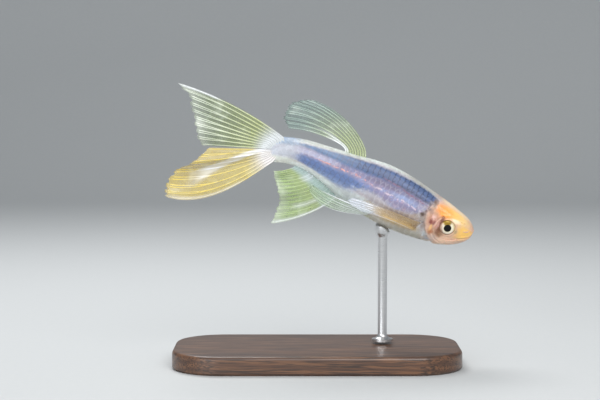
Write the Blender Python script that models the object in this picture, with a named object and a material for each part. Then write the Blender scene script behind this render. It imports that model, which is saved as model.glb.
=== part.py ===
"""A long-finned zebra danio, life size, swimming nose down on a small display stand.

Everything is in metres with +Z up. The origin is the middle of the stand base's underside,
and the fish swims towards +X with its right flank towards -Y.
"""

import math

import bmesh
import bpy
import numpy as np
from mathutils import Matrix, Vector
from mathutils.bvhtree import BVHTree

MM = 0.001
GAP = 0.3 * MM  # between two nodes that meet face to face
PARTING = 0.38 * MM  # the same along the spine, where the body is parted on a slant
EYE_GAP = 0.2 * MM

# The spine: from the tip of the snout to the root of the tail fin.
LENGTH = 36.0 * MM
SNOUT = Vector((24.9, -0.5, 21.3)) * MM
NOSE_DOWN = math.radians(25)  # slope of the head and trunk
TAIL_DOWN = math.radians(7)  # slope of the tail stalk, which levels out
LEVELS_FROM, LEVELS_TO = 0.76, 0.93  # shares of the length where the slope changes
HEAD_YAW = math.radians(-5)  # the snout turns a little towards -Y
TAIL_YAW = math.radians(9)  # and so does the tail
ROLL = math.radians(12)  # the back leans towards -Y
SPINE_STEPS = 240

# Body sections: share of the length, then back above the spine, belly below it and half width, in mm.
BODY = (
    (0.000, 0.00, 0.00, 0.00),
    (0.006, 0.62, 1.45, 0.75),
    (0.022, 1.10, 2.26, 1.20),
    (0.044, 1.48, 2.95, 1.58),
    (0.089, 2.08, 3.88, 2.10),
    (0.178, 2.88, 4.72, 2.50),
    (0.267, 3.52, 5.23, 2.72),
    (0.356, 4.05, 5.42, 2.75),
    (0.444, 4.22, 5.28, 2.60),
    (0.533, 3.90, 4.78, 2.25),
    (0.622, 3.33, 4.02, 1.80),
    (0.711, 2.90, 3.02, 1.40),
    (0.800, 2.48, 2.38, 1.08),
    (0.889, 2.22, 2.18, 0.84),
    (0.956, 2.12, 2.14, 0.68),
    (1.000, 2.10, 2.16, 0.52),
)
# How square a section is: share of the length, then exponents of its upper and lower half. 2 is an ellipse.
SQUARENESS = (
    (0.00, 2.2, 2.1),
    (0.10, 2.5, 2.0),
    (0.22, 2.3, 1.9),
    (0.45, 2.1, 1.85),
    (0.75, 2.0, 1.9),
    (1.00, 2.0, 2.0),
)

# Where the body is parted, as a share of the length at the back, the flank and the belly.
GILL_EDGE = (0.180, 0.225, 0.140)
VENT_EDGE = (0.705, 0.655, 0.600)
TAIL_EDGE = (0.925, 1.000, 0.955)
HEAD_SEGMENTS, HEAD_RINGS = 40, 24
TRUNK_SEGMENTS, TRUNK_RINGS = 32, 20
STALK_SEGMENTS, STALK_RINGS = 28, 12

# The eye: a flat ball set deep in the head, with a low clear dome.
EYE_SHARE, EYE_BELOW_SPINE, EYE_OUT = 0.112, 0.50 * MM, 2.04 * MM
EYE_RADIUS, EYE_DOME, EYE_DEPTH = 1.24 * MM, 0.50 * MM, 1.0 * MM
EYE_FORWARD = math.radians(12)
EYE_SEGMENTS, EYE_RINGS = 20, 10

# Mouth, nostrils, cheek and feelers. A place on the skin is a share of the length and an angle from the back.
MOUTH_SHARE, MOUTH_ANGLE = 0.052, math.radians(124)
MOUTH_GROOVE, LIP_RADIUS, LIP_OFFSET = 0.15 * MM, 0.19 * MM, 0.26 * MM
NOSTRILS = ((0.041, math.radians(50), 0.24 * MM), (0.056, math.radians(56), 0.28 * MM))
CHEEK_GROOVE = 0.11 * MM
CHEEK_EDGE = ((0.150, 76), (0.166, 92), (0.170, 108), (0.160, 124), (0.138, 138), (0.112, 148))
FEELER_ROOT, FEELER_TIP = 0.26 * MM, 0.10 * MM
SNOUT_FEELER = (0.020, math.radians(78), 1.5 * MM)
JAW_FEELER = (0.054, math.radians(126), 2.4 * MM)

# Fin thickness, as half of the whole. A ray rises from the membrane by its own height, and by no more
# than a share of the room between two rays.
MEMBRANE, OUTER_EDGE, EDGE = 0.25 * MM, 0.16 * MM, 0.09 * MM
RAY_ROOT, RAY_TIP, RAY_ROOM = 0.17 * MM, 0.07 * MM, 0.35
EDGE_STARTS = 0.93  # share of a ray where its tip starts to thin out
NOTCH = 0.035  # how much shorter the membrane is than its rays
RAY_FOOT_ROOT, RAY_FOOT_TIP = 0.30, 0.15  # half a ray's width, in ray spacings
BEND_STEPS = 6  # steps of a bending ray between two rows

# Each fin: places across it from 0 to 1, then ray length in mm, lean from the spine towards the fin's
# own side at the ray's root and tip, swing to the fish's right at root and tip, in degrees, and a power
# that keeps the bending for the outer part of the ray. A root is a share and an angle on the skin, and
# the tail fin's a height above the spine in mm. Lift is the root's distance from the skin.
DORSAL = dict(
    rays=9, rows=7, side=1, root=((0.572, 0), (0.668, 0)), lift=GAP,
    shape=(
        (0.00, 13.9, 49, -8, 0, 5, 1.0),
        (0.25, 14.5, 43, -11, -1, 7, 1.0),
        (0.50, 14.4, 35, -16, -2, 8, 1.0),
        (0.80, 12.5, 19, -22, -3, 3, 1.0),
        (1.00, 10.3, 9, -22, 0, -4, 1.0),
    ),
)
ANAL = dict(
    rays=11, rows=7, side=-1, root=((0.612, 180), (0.852, 180)), lift=GAP,
    shape=(
        (0.00, 12.2, 63, 30, 0, 6, 1.0),
        (0.20, 8.9, 60, 24, 2, -2, 1.0),
        (0.45, 7.1, 56, 20, 0, 8, 1.0),
        (0.75, 5.4, 50, 18, -2, -2, 1.0),
        (1.00, 3.8, 42, 14, 0, 5, 1.0),
    ),
)
UPPER_TAIL = dict(
    rays=10, rows=8, side=1, root=(2.02, 0.10), lift=GAP,
    shape=(
        (0.00, 19.6, 31, 8, 0, -7, 1.0),
        (0.22, 16.2, 26, 13, 2, -5, 1.0),
        (0.50, 13.5, 15, 11, 0, -8, 1.0),
        (0.75, 11.8, 6, 5, 1, -3, 1.0),
        (1.00, 10.4, -4, -6, 0, -6, 1.0),
    ),
)
LOWER_TAIL = dict(
    rays=9, rows=8, side=1, root=(-0.42, -2.06), lift=GAP,
    shape=(
        (0.00, 9.1, -5, -7, 0, -6, 1.0),
        (0.25, 11.8, -15, -12, 6, 2, 1.0),
        (0.50, 15.2, -27, -9, -5, -12, 1.2),
        (0.75, 17.5, -38, 4, 0, -4, 1.7),
        (1.00, 19.2, -42, 18, 2, 2, 2.2),
    ),
)
PECTORAL = dict(
    rays=6, rows=7, side=-1, root=((0.229, 109), (0.245, 130)), lift=0.66 * MM,
    shape=(
        (0.00, 12.4, -2, 9, 13, 3, 1.5),
        (0.40, 12.2, -3, 10, 15, 6, 1.5),
        (0.75, 11.2, -4, 10, 18, 9, 1.5),
        (1.00, 9.6, -5, 10, 21, 12, 1.5),
    ),
)
PELVIC = dict(
    rays=6, rows=7, side=-1, root=((0.437, 130), (0.462, 151)), lift=0.66 * MM,
    shape=(
        (0.00, 11.3, 3, -5, 14, 8, 1.0),
        (0.40, 11.4, 10, -20, 11, 6, 1.5),
        (1.00, 10.4, 19, -38, 5, 4, 2.4),
    ),
)

# The stand: a flat base with softened edges, and one rod with a small pad under the belly.
BASE_LENGTH, BASE_WIDTH, BASE_HEIGHT = 46 * MM, 24 * MM, 3.0 * MM
BASE_CORNER, BASE_CORNER_STEPS, BASE_EDGE = 8 * MM, 8, 0.6 * MM
ROD_SHARE = 0.372
ROD_SEGMENTS = 20
ROD_RADIUS, PAD_RADIUS, FOOT_RADIUS = 0.75 * MM, 1.15 * MM, 1.7 * MM
PAD_LENGTH, FOOT_HEIGHT = 1.6 * MM, 1.3 * MM


def clear_scene():
    for obj in list(bpy.data.objects):
        bpy.data.objects.remove(obj, do_unlink=True)


def finish(name, colour, roughness, metallic=0.0):
    """A plain material of one colour."""
    material = bpy.data.materials.new(name)
    material.use_nodes = True
    shader = material.node_tree.nodes["Principled BSDF"]
    shader.inputs["Base Color"].default_value = (*colour, 1.0)
    shader.inputs["Roughness"].default_value = roughness
    shader.inputs["Metallic"].default_value = metallic
    return material


def add_object(name, bm, material=None):
    """An object from a bmesh whose faces all turn one way, made to turn outwards and smooth."""
    if bm.calc_volume(signed=True) < 0:
        bmesh.ops.reverse_faces(bm, faces=bm.faces)
    mesh = bpy.data.meshes.new(name)
    bm.to_mesh(mesh)
    bm.free()
    mesh.shade_smooth()
    mesh.set_sharp_from_angle(angle=math.radians(40))
    obj = bpy.data.objects.new(name, mesh)
    bpy.context.scene.collection.objects.link(obj)
    if material:
        mesh.materials.append(material)
    return obj


def smooth_step(low, high, x):
    t = min(1.0, max(0.0, (x - low) / (high - low)))
    return t * t * (3 - 2 * t)


def curve_through(rows):
    """A function that passes smoothly through rows of (place, values...), with no overshoot."""
    table = np.array(rows, float)
    x, y = table[:, 0], table[:, 1:]
    slope = np.diff(y, axis=0) / np.diff(x)[:, None]
    tangent = np.vstack([slope[:1], (slope[1:] + slope[:-1]) / 2, slope[-1:]])
    turns = slope[1:] * slope[:-1] <= 0
    tangent[1:-1][turns] = 0

    def value(at):
        at = min(max(at, x[0]), x[-1])
        k = min(int(np.searchsorted(x, at, side="right")) - 1, len(x) - 2)
        width = x[k + 1] - x[k]
        t = (at - x[k]) / width
        return (
            y[k] * (1 + 2 * t) * (1 - t) ** 2
            + tangent[k] * width * t * (1 - t) ** 2
            + y[k + 1] * t * t * (3 - 2 * t)
            + tangent[k + 1] * width * t * t * (t - 1)
        )

    return value


# A square root of the share spreads out the sections of the snout, so that its tip is round.
body_size = curve_through([(math.sqrt(row[0]), *row[1:]) for row in BODY])
body_squareness = curve_through(SQUARENESS)


def spine_direction(share):
    """Unit vectors at a share of the length: towards the tail, the back and the fish's right side."""
    pitch = NOSE_DOWN + (TAIL_DOWN - NOSE_DOWN) * smooth_step(LEVELS_FROM, LEVELS_TO, share)
    yaw = HEAD_YAW + (TAIL_YAW - HEAD_YAW) * smooth_step(0.1, 0.95, share)
    tail = Vector((-math.cos(yaw) * math.cos(pitch), -math.sin(yaw), math.cos(yaw) * math.sin(pitch)))
    level_right = tail.cross(Vector((0, 0, 1))).normalized() * -1
    level_up = level_right.cross(tail).normalized()
    if level_up.z < 0:
        level_up = -level_up
    up = level_up * math.cos(ROLL) + level_right * math.sin(ROLL)
    right = level_right * math.cos(ROLL) - level_up * math.sin(ROLL)
    return tail, up, right


def make_spine():
    points = [SNOUT.copy()]
    for step in range(SPINE_STEPS):
        tail = spine_direction((step + 0.5) / SPINE_STEPS)[0]
        points.append(points[-1] + tail * (LENGTH / SPINE_STEPS))
    return points


SPINE = make_spine()


def spine_point(share):
    place = max(share, 0.0) * SPINE_STEPS
    k = min(int(place), SPINE_STEPS - 1)
    return SPINE[k].lerp(SPINE[k + 1], place - k)


def in_body_frame(share, above, right):
    """The point above the spine and to the fish's right of it."""
    _, up, side = spine_direction(share)
    return spine_point(share) + up * above + side * right


def skin_point(share, angle, offset=0.0):
    """A point of the skin, or offset outside it. The angle runs from the back over the right side to the belly."""
    back, belly, width = body_size(math.sqrt(max(share, 0.0))) * MM
    upper, lower = body_squareness(share)
    sine, cosine = math.sin(angle), math.cos(angle)
    height, power = (back, upper) if cosine >= 0 else (belly, lower)
    across = width * math.copysign(abs(sine) ** (2 / power), sine)
    above = height * math.copysign(abs(cosine) ** (2 / power), cosine)
    if offset:
        normal = Vector((
            math.copysign(abs(across / width) ** (power - 1) / width, sine),
            math.copysign(abs(above / height) ** (power - 1) / height, cosine),
        )).normalized()
        across += normal.x * offset
        above += normal.y * offset
    return in_body_frame(share, above, across)


def edge_share(edge, angle):
    """The share where the body is parted, at this angle from the back."""
    top, flank, bottom = edge
    middle = (top + bottom) / 2
    return middle + (top - bottom) / 2 * math.cos(angle) + (flank - middle) * math.sin(angle) ** 2


def ring_angles(segments):
    return [2 * math.pi * k / segments for k in range(segments)]


def bridge(bm, first, second):
    count = len(first)
    for k in range(count):
        bm.faces.new((first[k], first[(k + 1) % count], second[(k + 1) % count], second[k]))


def cap(bm, ring, first=False):
    """Closes the first or last ring with rungs from side to side, so that the end keeps the edge's curve."""
    if first:
        ring = ring[:1] + ring[:0:-1]
    half = len(ring) // 2
    bm.faces.new((ring[0], ring[1], ring[-1]))
    for k in range(1, half - 1):
        bm.faces.new((ring[k], ring[k + 1], ring[-k - 1]))
        bm.faces.new((ring[k], ring[-k - 1], ring[-k]))
    bm.faces.new((ring[half - 1], ring[half], ring[half + 1]))


def loft_body(name, front, rear, rings, segments, material):
    """A closed length of the body between two parting edges, or from the snout where front is None."""
    bm = bmesh.new()
    angles = ring_angles(segments)
    ring_before = None
    tip = bm.verts.new(skin_point(0, 0)) if front is None else None
    for step in range(1 if tip else 0, rings + 1):
        t = step / rings
        ring = []
        for angle in angles:
            last = edge_share(rear, angle)
            first = edge_share(front, angle) + PARTING / LENGTH if front else 0.0
            t_here = t * t if tip else t
            ring.append(bm.verts.new(skin_point(first + (last - first) * t_here, angle)))
        if ring_before:
            bridge(bm, ring_before, ring)
        elif tip:
            for k in range(segments):
                bm.faces.new((tip, ring[(k + 1) % segments], ring[k]))
        else:
            cap(bm, ring, first=True)
        ring_before = ring
    cap(bm, ring_before)
    return add_object(name, bm, material)


def tube(name, points, radii, sides=8):
    """A closed round bar along points, with its own radius at each."""
    bm = bmesh.new()
    side = None
    ring_before = None
    for k, point in enumerate(points):
        ahead = (points[min(k + 1, len(points) - 1)] - points[max(k - 1, 0)]).normalized()
        side = (side or ahead.orthogonal())
        side = (side - ahead * side.dot(ahead)).normalized()
        other = ahead.cross(side)
        ring = [
            bm.verts.new(point + (side * math.cos(a) + other * math.sin(a)) * radii[k])
            for a in ring_angles(sides)
        ]
        if ring_before:
            bridge(bm, ring_before, ring)
        else:
            cap(bm, ring, first=True)
        ring_before = ring
    cap(bm, ring_before)
    return add_object(name, bm)


def ball(name, centre, turn, radius, outer, inner):
    """A ball squashed along its own Z: outer high on one side and inner deep on the other."""
    bm = bmesh.new()
    bmesh.ops.create_uvsphere(bm, u_segments=EYE_SEGMENTS, v_segments=EYE_RINGS, radius=1.0)
    for vertex in bm.verts:
        depth = outer if vertex.co.z > 0 else inner
        vertex.co = Vector((vertex.co.x * radius, vertex.co.y * radius, vertex.co.z * depth))
    bmesh.ops.transform(bm, verts=bm.verts, matrix=Matrix.Translation(centre) @ turn.to_4x4())
    return add_object(name, bm)


def combine(obj, pieces, operation):
    """Joins or cuts obj by a group of closed pieces, and removes them."""
    group = bpy.data.collections.new("pieces")
    for piece in pieces:
        bpy.context.scene.collection.objects.unlink(piece)
        group.objects.link(piece)
    modifier = obj.modifiers.new("Boolean", "BOOLEAN")
    modifier.operation = operation
    modifier.operand_type = "COLLECTION"
    modifier.collection = group
    modifier.solver = "EXACT"
    bpy.context.view_layer.update()
    graph = bpy.context.evaluated_depsgraph_get()
    made = bpy.data.meshes.new_from_object(obj.evaluated_get(graph))
    obj.modifiers.clear()
    obj.data = made
    for piece in pieces:
        bpy.data.objects.remove(piece, do_unlink=True)
    bpy.data.collections.remove(group)


def keep_largest_surface(obj):
    """Drops every loose piece but the largest, and triangulates what is left."""
    bm = bmesh.new()
    bm.from_mesh(obj.data)
    left = set(bm.verts)
    groups = []
    while left:
        front = [left.pop()]
        group = set(front)
        while front:
            for edge in front.pop().link_edges:
                for vertex in edge.verts:
                    if vertex in left:
                        left.remove(vertex)
                        group.add(vertex)
                        front.append(vertex)
        groups.append(group)
    largest = max(groups, key=len)
    bmesh.ops.delete(bm, geom=[v for v in bm.verts if v not in largest], context="VERTS")
    bmesh.ops.triangulate(bm, faces=bm.faces)
    bm.to_mesh(obj.data)
    bm.free()
    obj.data.shade_smooth()
    obj.data.set_sharp_from_angle(angle=math.radians(40))


def eye_place(side):
    """Centre of an eye and the turn that points its Z outwards. The side is 1 on the fish's right."""
    tail, _, right = spine_direction(EYE_SHARE)
    out = right * side * math.cos(EYE_FORWARD) - tail * math.sin(EYE_FORWARD)
    centre = in_body_frame(EYE_SHARE, -EYE_BELOW_SPINE, EYE_OUT * side)
    return centre, out.to_track_quat("Z", "Y").to_matrix()


def mouth_line(steps=7):
    """Points along the closed mouth, from its right corner over the tip of the snout to its left corner."""
    places = [k / steps for k in range(steps, 0, -1)]
    right = [skin_point(MOUTH_SHARE * t * t, MOUTH_ANGLE) for t in places]
    left = [skin_point(MOUTH_SHARE * t * t, -MOUTH_ANGLE) for t in places]
    return right + [skin_point(0, 0)] + left[::-1]


def mouth_pieces():
    """An upper and a lower lip to add, and the line of the mouth to cut between them."""
    line = mouth_line()
    inside = spine_point(MOUTH_SHARE * 1.5)
    lips = []
    for name, lift in (("upper_lip", LIP_OFFSET), ("lower_lip", -LIP_OFFSET)):
        path = []
        for k, point in enumerate(line):
            along = line[min(k + 1, len(line) - 1)] - line[max(k - 1, 0)]
            outward = (point - inside).normalized()
            above = along.cross(outward).normalized()
            if above.z < 0:
                above = -above
            path.append(point + above * lift - outward * LIP_RADIUS * 0.35)
        radii = [LIP_RADIUS * (0.55 + 0.45 * math.sin(math.pi * k / (len(path) - 1))) for k in range(len(path))]
        lips.append(tube(name, path, radii))
    return lips, tube("mouth_groove", line, [MOUTH_GROOVE] * len(line), sides=6)


def cheek_groove(side):
    places = curve_through([(k, *row) for k, row in enumerate(CHEEK_EDGE)])
    steps = 2 * (len(CHEEK_EDGE) - 1)
    points = []
    for k in range(steps + 1):
        share, degrees = places(k / 2)
        points.append(skin_point(share, side * math.radians(degrees), CHEEK_GROOVE * 0.2))
    return tube("cheek_groove", points, [CHEEK_GROOVE] * len(points), sides=6)


def nostril(side, share, angle, radius):
    bm = bmesh.new()
    bmesh.ops.create_icosphere(bm, subdivisions=1, radius=radius)
    bmesh.ops.translate(bm, verts=bm.verts, vec=skin_point(share, side * angle))
    return add_object("nostril", bm)


def feeler(side, share, angle, length):
    """A soft feeler that leaves the lip outwards and trails back along the cheek."""
    tail, up, right = spine_direction(share)
    root = skin_point(share, side * angle, -FEELER_ROOT)
    points = []
    for k in range(6):
        t = k / 5
        bend = right * side * (0.55 - 0.35 * t) + tail * t - up * 0.35
        points.append(root + bend.normalized() * length * t)
    return tube("feeler", points, list(np.linspace(FEELER_ROOT, FEELER_TIP, len(points))), sides=6)


def make_head(material):
    head = loft_body("head", None, GILL_EDGE, HEAD_RINGS, HEAD_SEGMENTS, material)
    added, mouth = mouth_pieces()
    cut = [mouth]
    for side in (1, -1):
        added += [feeler(side, *SNOUT_FEELER), feeler(side, *JAW_FEELER)]
        centre, turn = eye_place(side)
        sizes = (EYE_RADIUS + EYE_GAP, EYE_DOME + EYE_GAP, EYE_DEPTH + EYE_GAP)
        cut += [ball("socket", centre, turn, *sizes), cheek_groove(side)]
        cut += [nostril(side, *place) for place in NOSTRILS]
    combine(head, added, "UNION")
    combine(head, cut, "DIFFERENCE")
    keep_largest_surface(head)
    return head


def make_eye(name, side, material):
    centre, turn = eye_place(side)
    eye = ball(name, centre, turn, EYE_RADIUS, EYE_DOME, EYE_DEPTH)
    eye.data.materials.append(material)
    return eye


def tail_root(fin, across):
    """The share and place on the rear edge of the tail stalk."""
    first, second = fin["root"]
    above = (first + (second - first) * across) * MM
    back, belly = body_size(1.0)[:2] * MM
    angle = math.acos(min(1.0, max(-1.0, above / (back if above > 0 else belly))))
    share = edge_share(TAIL_EDGE, angle)
    return share, in_body_frame(share, above, 0)


def fin_root(fin, across, mirror):
    """Where a ray leaves the body, and the directions that it leans by there."""
    first, second = fin["root"]
    if isinstance(first, tuple):
        share = first[0] + (second[0] - first[0]) * across
        angle = math.radians(first[1] + (second[1] - first[1]) * across) * mirror
        point = skin_point(share, angle, fin["lift"])
    else:
        share, point = tail_root(fin, across)
        along = tail_root(fin, across + 0.02)[1] - tail_root(fin, across - 0.02)[1]
        away = along.cross(spine_direction(share)[2]).normalized()
        if away.dot(spine_direction(share)[0]) < 0:
            away = -away
        point = point + away * fin["lift"]
    tail, up, right = spine_direction(share)
    return point, tail, up * fin["side"], right * mirror


def ray_path(fin, shape, across, mirror, ends):
    """Points of one ray at these shares of its length."""
    point, tail, lean_to, swing_to = fin_root(fin, across, mirror)
    length, lean_root, lean_tip, swing_root, swing_tip, power = shape(across)
    points = [point.copy()]
    for start, end in zip(ends[:-1], ends[1:]):
        for k in range(BEND_STEPS):
            v = start + (end - start) * (k + 0.5) / BEND_STEPS
            lean = math.radians(lean_root + (lean_tip - lean_root) * v**power)
            swing = math.radians(swing_root + (swing_tip - swing_root) * v)
            level = tail * math.cos(lean) + lean_to * math.sin(lean)
            ahead = level * math.cos(swing) + swing_to * math.sin(swing)
            point = point + ahead * (length * MM * (end - start) / BEND_STEPS)
        points.append(point.copy())
    return points


def across_place(ray, foot, rays, v):
    """The place across a fin of a ray's crest, or of its foot on one side or the other."""
    half_ray = RAY_FOOT_ROOT + (RAY_FOOT_TIP - RAY_FOOT_ROOT) * v
    return (ray + foot * half_ray) / (rays - 1)


def ray_normals(crests):
    """Unit normals of a fin at its ray crests, with each row kept smooth from ray to ray."""
    normal = np.cross(np.gradient(crests, axis=1), np.gradient(crests, axis=0))
    normal /= np.linalg.norm(normal, axis=2)[:, :, None]
    for _ in range(2):
        padded = np.concatenate([normal[:1], normal, normal[-1:]])
        normal = padded[:-2] + 2 * normal + padded[2:]
        normal /= np.linalg.norm(normal, axis=2)[:, :, None]
    return normal


def make_fin(name, fin, material, mirror=1):
    """A closed fin: a thin membrane with its rays raised on both faces, in triangles alike on both."""
    shape = curve_through(fin["shape"])
    rays, rows = fin["rays"], fin["rows"]
    ends = [k / (rows - 1) * EDGE_STARTS for k in range(rows)] + [1.0]
    columns = [(ray, foot) for ray in range(rays) for foot in (-1, 0, 1)]
    crests = np.array([
        [ray_path(fin, shape, ray / (rays - 1), mirror, ends[: r + 1])[-1] for r in range(len(ends))]
        for ray in range(rays)
    ])
    room = np.linalg.norm(np.gradient(crests, axis=0), axis=2) * RAY_ROOM
    crest_normal = ray_normals(crests)
    middle = np.zeros((len(columns), len(ends), 3))
    normal = np.zeros_like(middle)
    half = np.full((len(columns), len(ends)), MEMBRANE)
    for c, (ray, foot) in enumerate(columns):
        for r, v in enumerate(ends):
            across = across_place(ray, foot, rays, v)
            shorter = [end * (1 - NOTCH * v * abs(foot)) for end in ends[: r + 1]]
            middle[c, r] = ray_path(fin, shape, across, mirror, shorter)[-1]
            beside = min(max(ray + foot, 0), rays - 1)
            part = abs(across * (rays - 1) - ray)
            normal[c, r] = crest_normal[ray, r] * (1 - part) + crest_normal[beside, r] * part
            if v == 1.0:
                half[c, r] = EDGE
            elif (ray, foot) in ((0, -1), (rays - 1, 1)):
                half[c, r] = OUTER_EDGE
            elif foot == 0:
                half[c, r] += min(RAY_ROOT + (RAY_TIP - RAY_ROOT) * v, room[ray, r])
    normal /= np.linalg.norm(normal, axis=2)[:, :, None]
    return stitch(name, middle, normal * half[:, :, None], material)


def stitch(name, middle, offset, material):
    """Two faces at either side of a middle surface, closed round their edge, all in triangles."""
    bm = bmesh.new()
    columns, rows = middle.shape[:2]
    front, back = (
        [[bm.verts.new(middle[c, r] + sign * offset[c, r]) for r in range(rows)] for c in range(columns)]
        for sign in (1, -1)
    )
    for c in range(columns - 1):
        for r in range(rows - 1):
            for a, b, d in (((c, r), (c + 1, r), (c + 1, r + 1)), ((c, r), (c + 1, r + 1), (c, r + 1))):
                bm.faces.new([front[i][j] for i, j in (a, b, d)])
                bm.faces.new([back[i][j] for i, j in (a, d, b)])
    rim = [(c, 0) for c in range(columns)] + [(columns - 1, r) for r in range(1, rows)]
    rim += [(c, rows - 1) for c in range(columns - 2, -1, -1)] + [(0, r) for r in range(rows - 2, 0, -1)]
    for (c, r), (c2, r2) in zip(rim, rim[1:] + rim[:1]):
        bm.faces.new((front[c2][r2], front[c][r], back[c][r]))
        bm.faces.new((front[c2][r2], back[c][r], back[c2][r2]))
    return add_object(name, bm, material)


def make_base(material):
    """A flat plate with round corners and a softened upper edge."""
    bm = bmesh.new()
    outline = []
    centres = ((1, 1, 0), (-1, 1, 90), (-1, -1, 180), (1, -1, 270))
    for x_side, y_side, start in centres:
        for k in range(BASE_CORNER_STEPS + 1):
            angle = math.radians(start + 90 * k / BASE_CORNER_STEPS)
            x = x_side * (BASE_LENGTH / 2 - BASE_CORNER) + BASE_CORNER * math.cos(angle)
            y = y_side * (BASE_WIDTH / 2 - BASE_CORNER) + BASE_CORNER * math.sin(angle)
            outline.append(bm.verts.new((x, y, 0)))
    bottom = bm.faces.new(outline)
    grown = bmesh.ops.extrude_face_region(bm, geom=[bottom])["geom"]
    top = [item for item in grown if isinstance(item, bmesh.types.BMVert)]
    bmesh.ops.translate(bm, verts=top, vec=(0, 0, BASE_HEIGHT))
    rim = [edge for edge in bm.edges if all(v.co.z > BASE_HEIGHT / 2 for v in edge.verts)]
    bmesh.ops.bevel(bm, geom=rim, offset=BASE_EDGE, segments=3, profile=0.5, affect="EDGES")
    return add_object("stand_base", bm, material)


def make_rod(material, carried):
    """A rod with a foot on the base, and a pad whose top follows the belly above it."""
    belly = BVHTree.FromObject(carried, bpy.context.evaluated_depsgraph_get())
    under = skin_point(ROD_SHARE, math.pi)
    top = under.z - GAP
    profile = (
        (FOOT_RADIUS, BASE_HEIGHT + GAP),
        (FOOT_RADIUS, BASE_HEIGHT + GAP + FOOT_HEIGHT * 0.4),
        (ROD_RADIUS, BASE_HEIGHT + GAP + FOOT_HEIGHT),
        (ROD_RADIUS, top - PAD_LENGTH),
        (PAD_RADIUS, top - PAD_LENGTH * 0.45),
        (PAD_RADIUS, None),
        (PAD_RADIUS * 0.55, None),
    )

    def under_belly(x, y):
        hit, normal = belly.ray_cast(Vector((x, y, 0)), Vector((0, 0, 1)))[:2]
        return hit.z - GAP * 1.1 / max(abs(normal.z), 0.5)

    bm = bmesh.new()
    ring_before = None
    for radius, height in profile:
        ring = []
        for angle in ring_angles(ROD_SEGMENTS):
            x, y = under.x + radius * math.cos(angle), under.y + radius * math.sin(angle)
            ring.append(bm.verts.new((x, y, under_belly(x, y) if height is None else height)))
        if ring_before:
            bridge(bm, ring_before, ring)
        else:
            bm.faces.new(ring[::-1])
        ring_before = ring
    middle = bm.verts.new((under.x, under.y, under_belly(under.x, under.y)))
    for k, vertex in enumerate(ring_before):
        bm.faces.new((vertex, ring_before[(k + 1) % ROD_SEGMENTS], middle))
    return add_object("stand_rod", bm, material)


def main():
    clear_scene()
    head_skin = finish("head_skin", (0.90, 0.66, 0.40), 0.35)
    flank_skin = finish("flank_skin", (0.38, 0.42, 0.62), 0.35)
    stalk_skin = finish("stalk_skin", (0.62, 0.64, 0.76), 0.35)
    fin_skin = finish("fin_skin", (0.80, 0.84, 0.78), 0.30)
    iris = finish("iris", (0.78, 0.72, 0.50), 0.08)
    wood = finish("wood", (0.16, 0.085, 0.045), 0.40)
    steel = finish("steel", (0.62, 0.62, 0.62), 0.28, 1.0)

    make_head(head_skin)
    trunk = loft_body("trunk", GILL_EDGE, VENT_EDGE, TRUNK_RINGS, TRUNK_SEGMENTS, flank_skin)
    loft_body("tail_stalk", VENT_EDGE, TAIL_EDGE, STALK_RINGS, STALK_SEGMENTS, stalk_skin)
    make_fin("dorsal_fin", DORSAL, fin_skin)
    make_fin("anal_fin", ANAL, fin_skin)
    make_fin("tail_fin_upper", UPPER_TAIL, fin_skin)
    make_fin("tail_fin_lower", LOWER_TAIL, fin_skin)
    for name, side in (("right", 1), ("left", -1)):
        make_eye(f"eye_{name}", side, iris)
        make_fin(f"pectoral_fin_{name}", PECTORAL, fin_skin, side)
        make_fin(f"pelvic_fin_{name}", PELVIC, fin_skin, side)
    make_base(wood)
    make_rod(steel, trunk)


main()
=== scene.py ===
import math

import bmesh
import bpy
import numpy as np
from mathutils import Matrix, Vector


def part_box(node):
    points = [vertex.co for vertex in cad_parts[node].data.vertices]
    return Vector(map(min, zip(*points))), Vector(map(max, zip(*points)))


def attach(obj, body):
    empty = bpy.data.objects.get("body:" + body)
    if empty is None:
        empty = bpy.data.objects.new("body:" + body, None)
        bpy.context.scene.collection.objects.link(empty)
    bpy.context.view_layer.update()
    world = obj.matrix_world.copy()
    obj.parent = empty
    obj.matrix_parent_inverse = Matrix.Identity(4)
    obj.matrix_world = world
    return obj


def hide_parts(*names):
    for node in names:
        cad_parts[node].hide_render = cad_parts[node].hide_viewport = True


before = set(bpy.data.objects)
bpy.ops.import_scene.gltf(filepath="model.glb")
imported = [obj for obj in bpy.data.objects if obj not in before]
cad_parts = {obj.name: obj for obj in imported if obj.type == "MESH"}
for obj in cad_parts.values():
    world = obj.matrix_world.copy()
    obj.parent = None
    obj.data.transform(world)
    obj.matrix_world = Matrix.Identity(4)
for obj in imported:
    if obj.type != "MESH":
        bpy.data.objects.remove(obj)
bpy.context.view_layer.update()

# Skin
# The fish has one skin from the snout to the root of the tail fin: scaleless on the head, thin and glossy
# over the flanks. It is lofted along a bent spine, sunk by the depth of the scales that lie on it, and
# worked into orbits, nostrils, lips, cheek and gill cover.
MM = 0.001
LENGTH = 36.0
SNOUT = np.array([24.9, -0.5, 21.3])
NOSE_DOWN, STALK_DOWN, HEAD_YAW, TAIL_YAW, ROLL = 25, 7, -5, 9, math.radians(12)
SPINE_STEPS = 240
BODY = (  # share of the length, back above the spine, belly below it, half width
    (0.000, 0.00, 0.00, 0.00), (0.006, 0.62, 1.45, 0.75), (0.022, 1.10, 2.26, 1.20),
    (0.044, 1.48, 2.95, 1.58),
    (0.089, 2.08, 3.88, 2.10), (0.178, 2.88, 4.72, 2.50), (0.267, 3.52, 5.23, 2.72),
    (0.356, 4.05, 5.42, 2.75), (0.444, 4.22, 5.28, 2.60), (0.533, 3.90, 4.78, 2.25),
    (0.622, 3.33, 4.02, 1.80), (0.711, 2.90, 3.02, 1.40), (0.800, 2.48, 2.38, 1.08),
    (0.889, 2.22, 2.18, 0.84), (0.956, 2.12, 2.14, 0.68), (1.000, 2.10, 2.16, 0.52),
)
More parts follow.
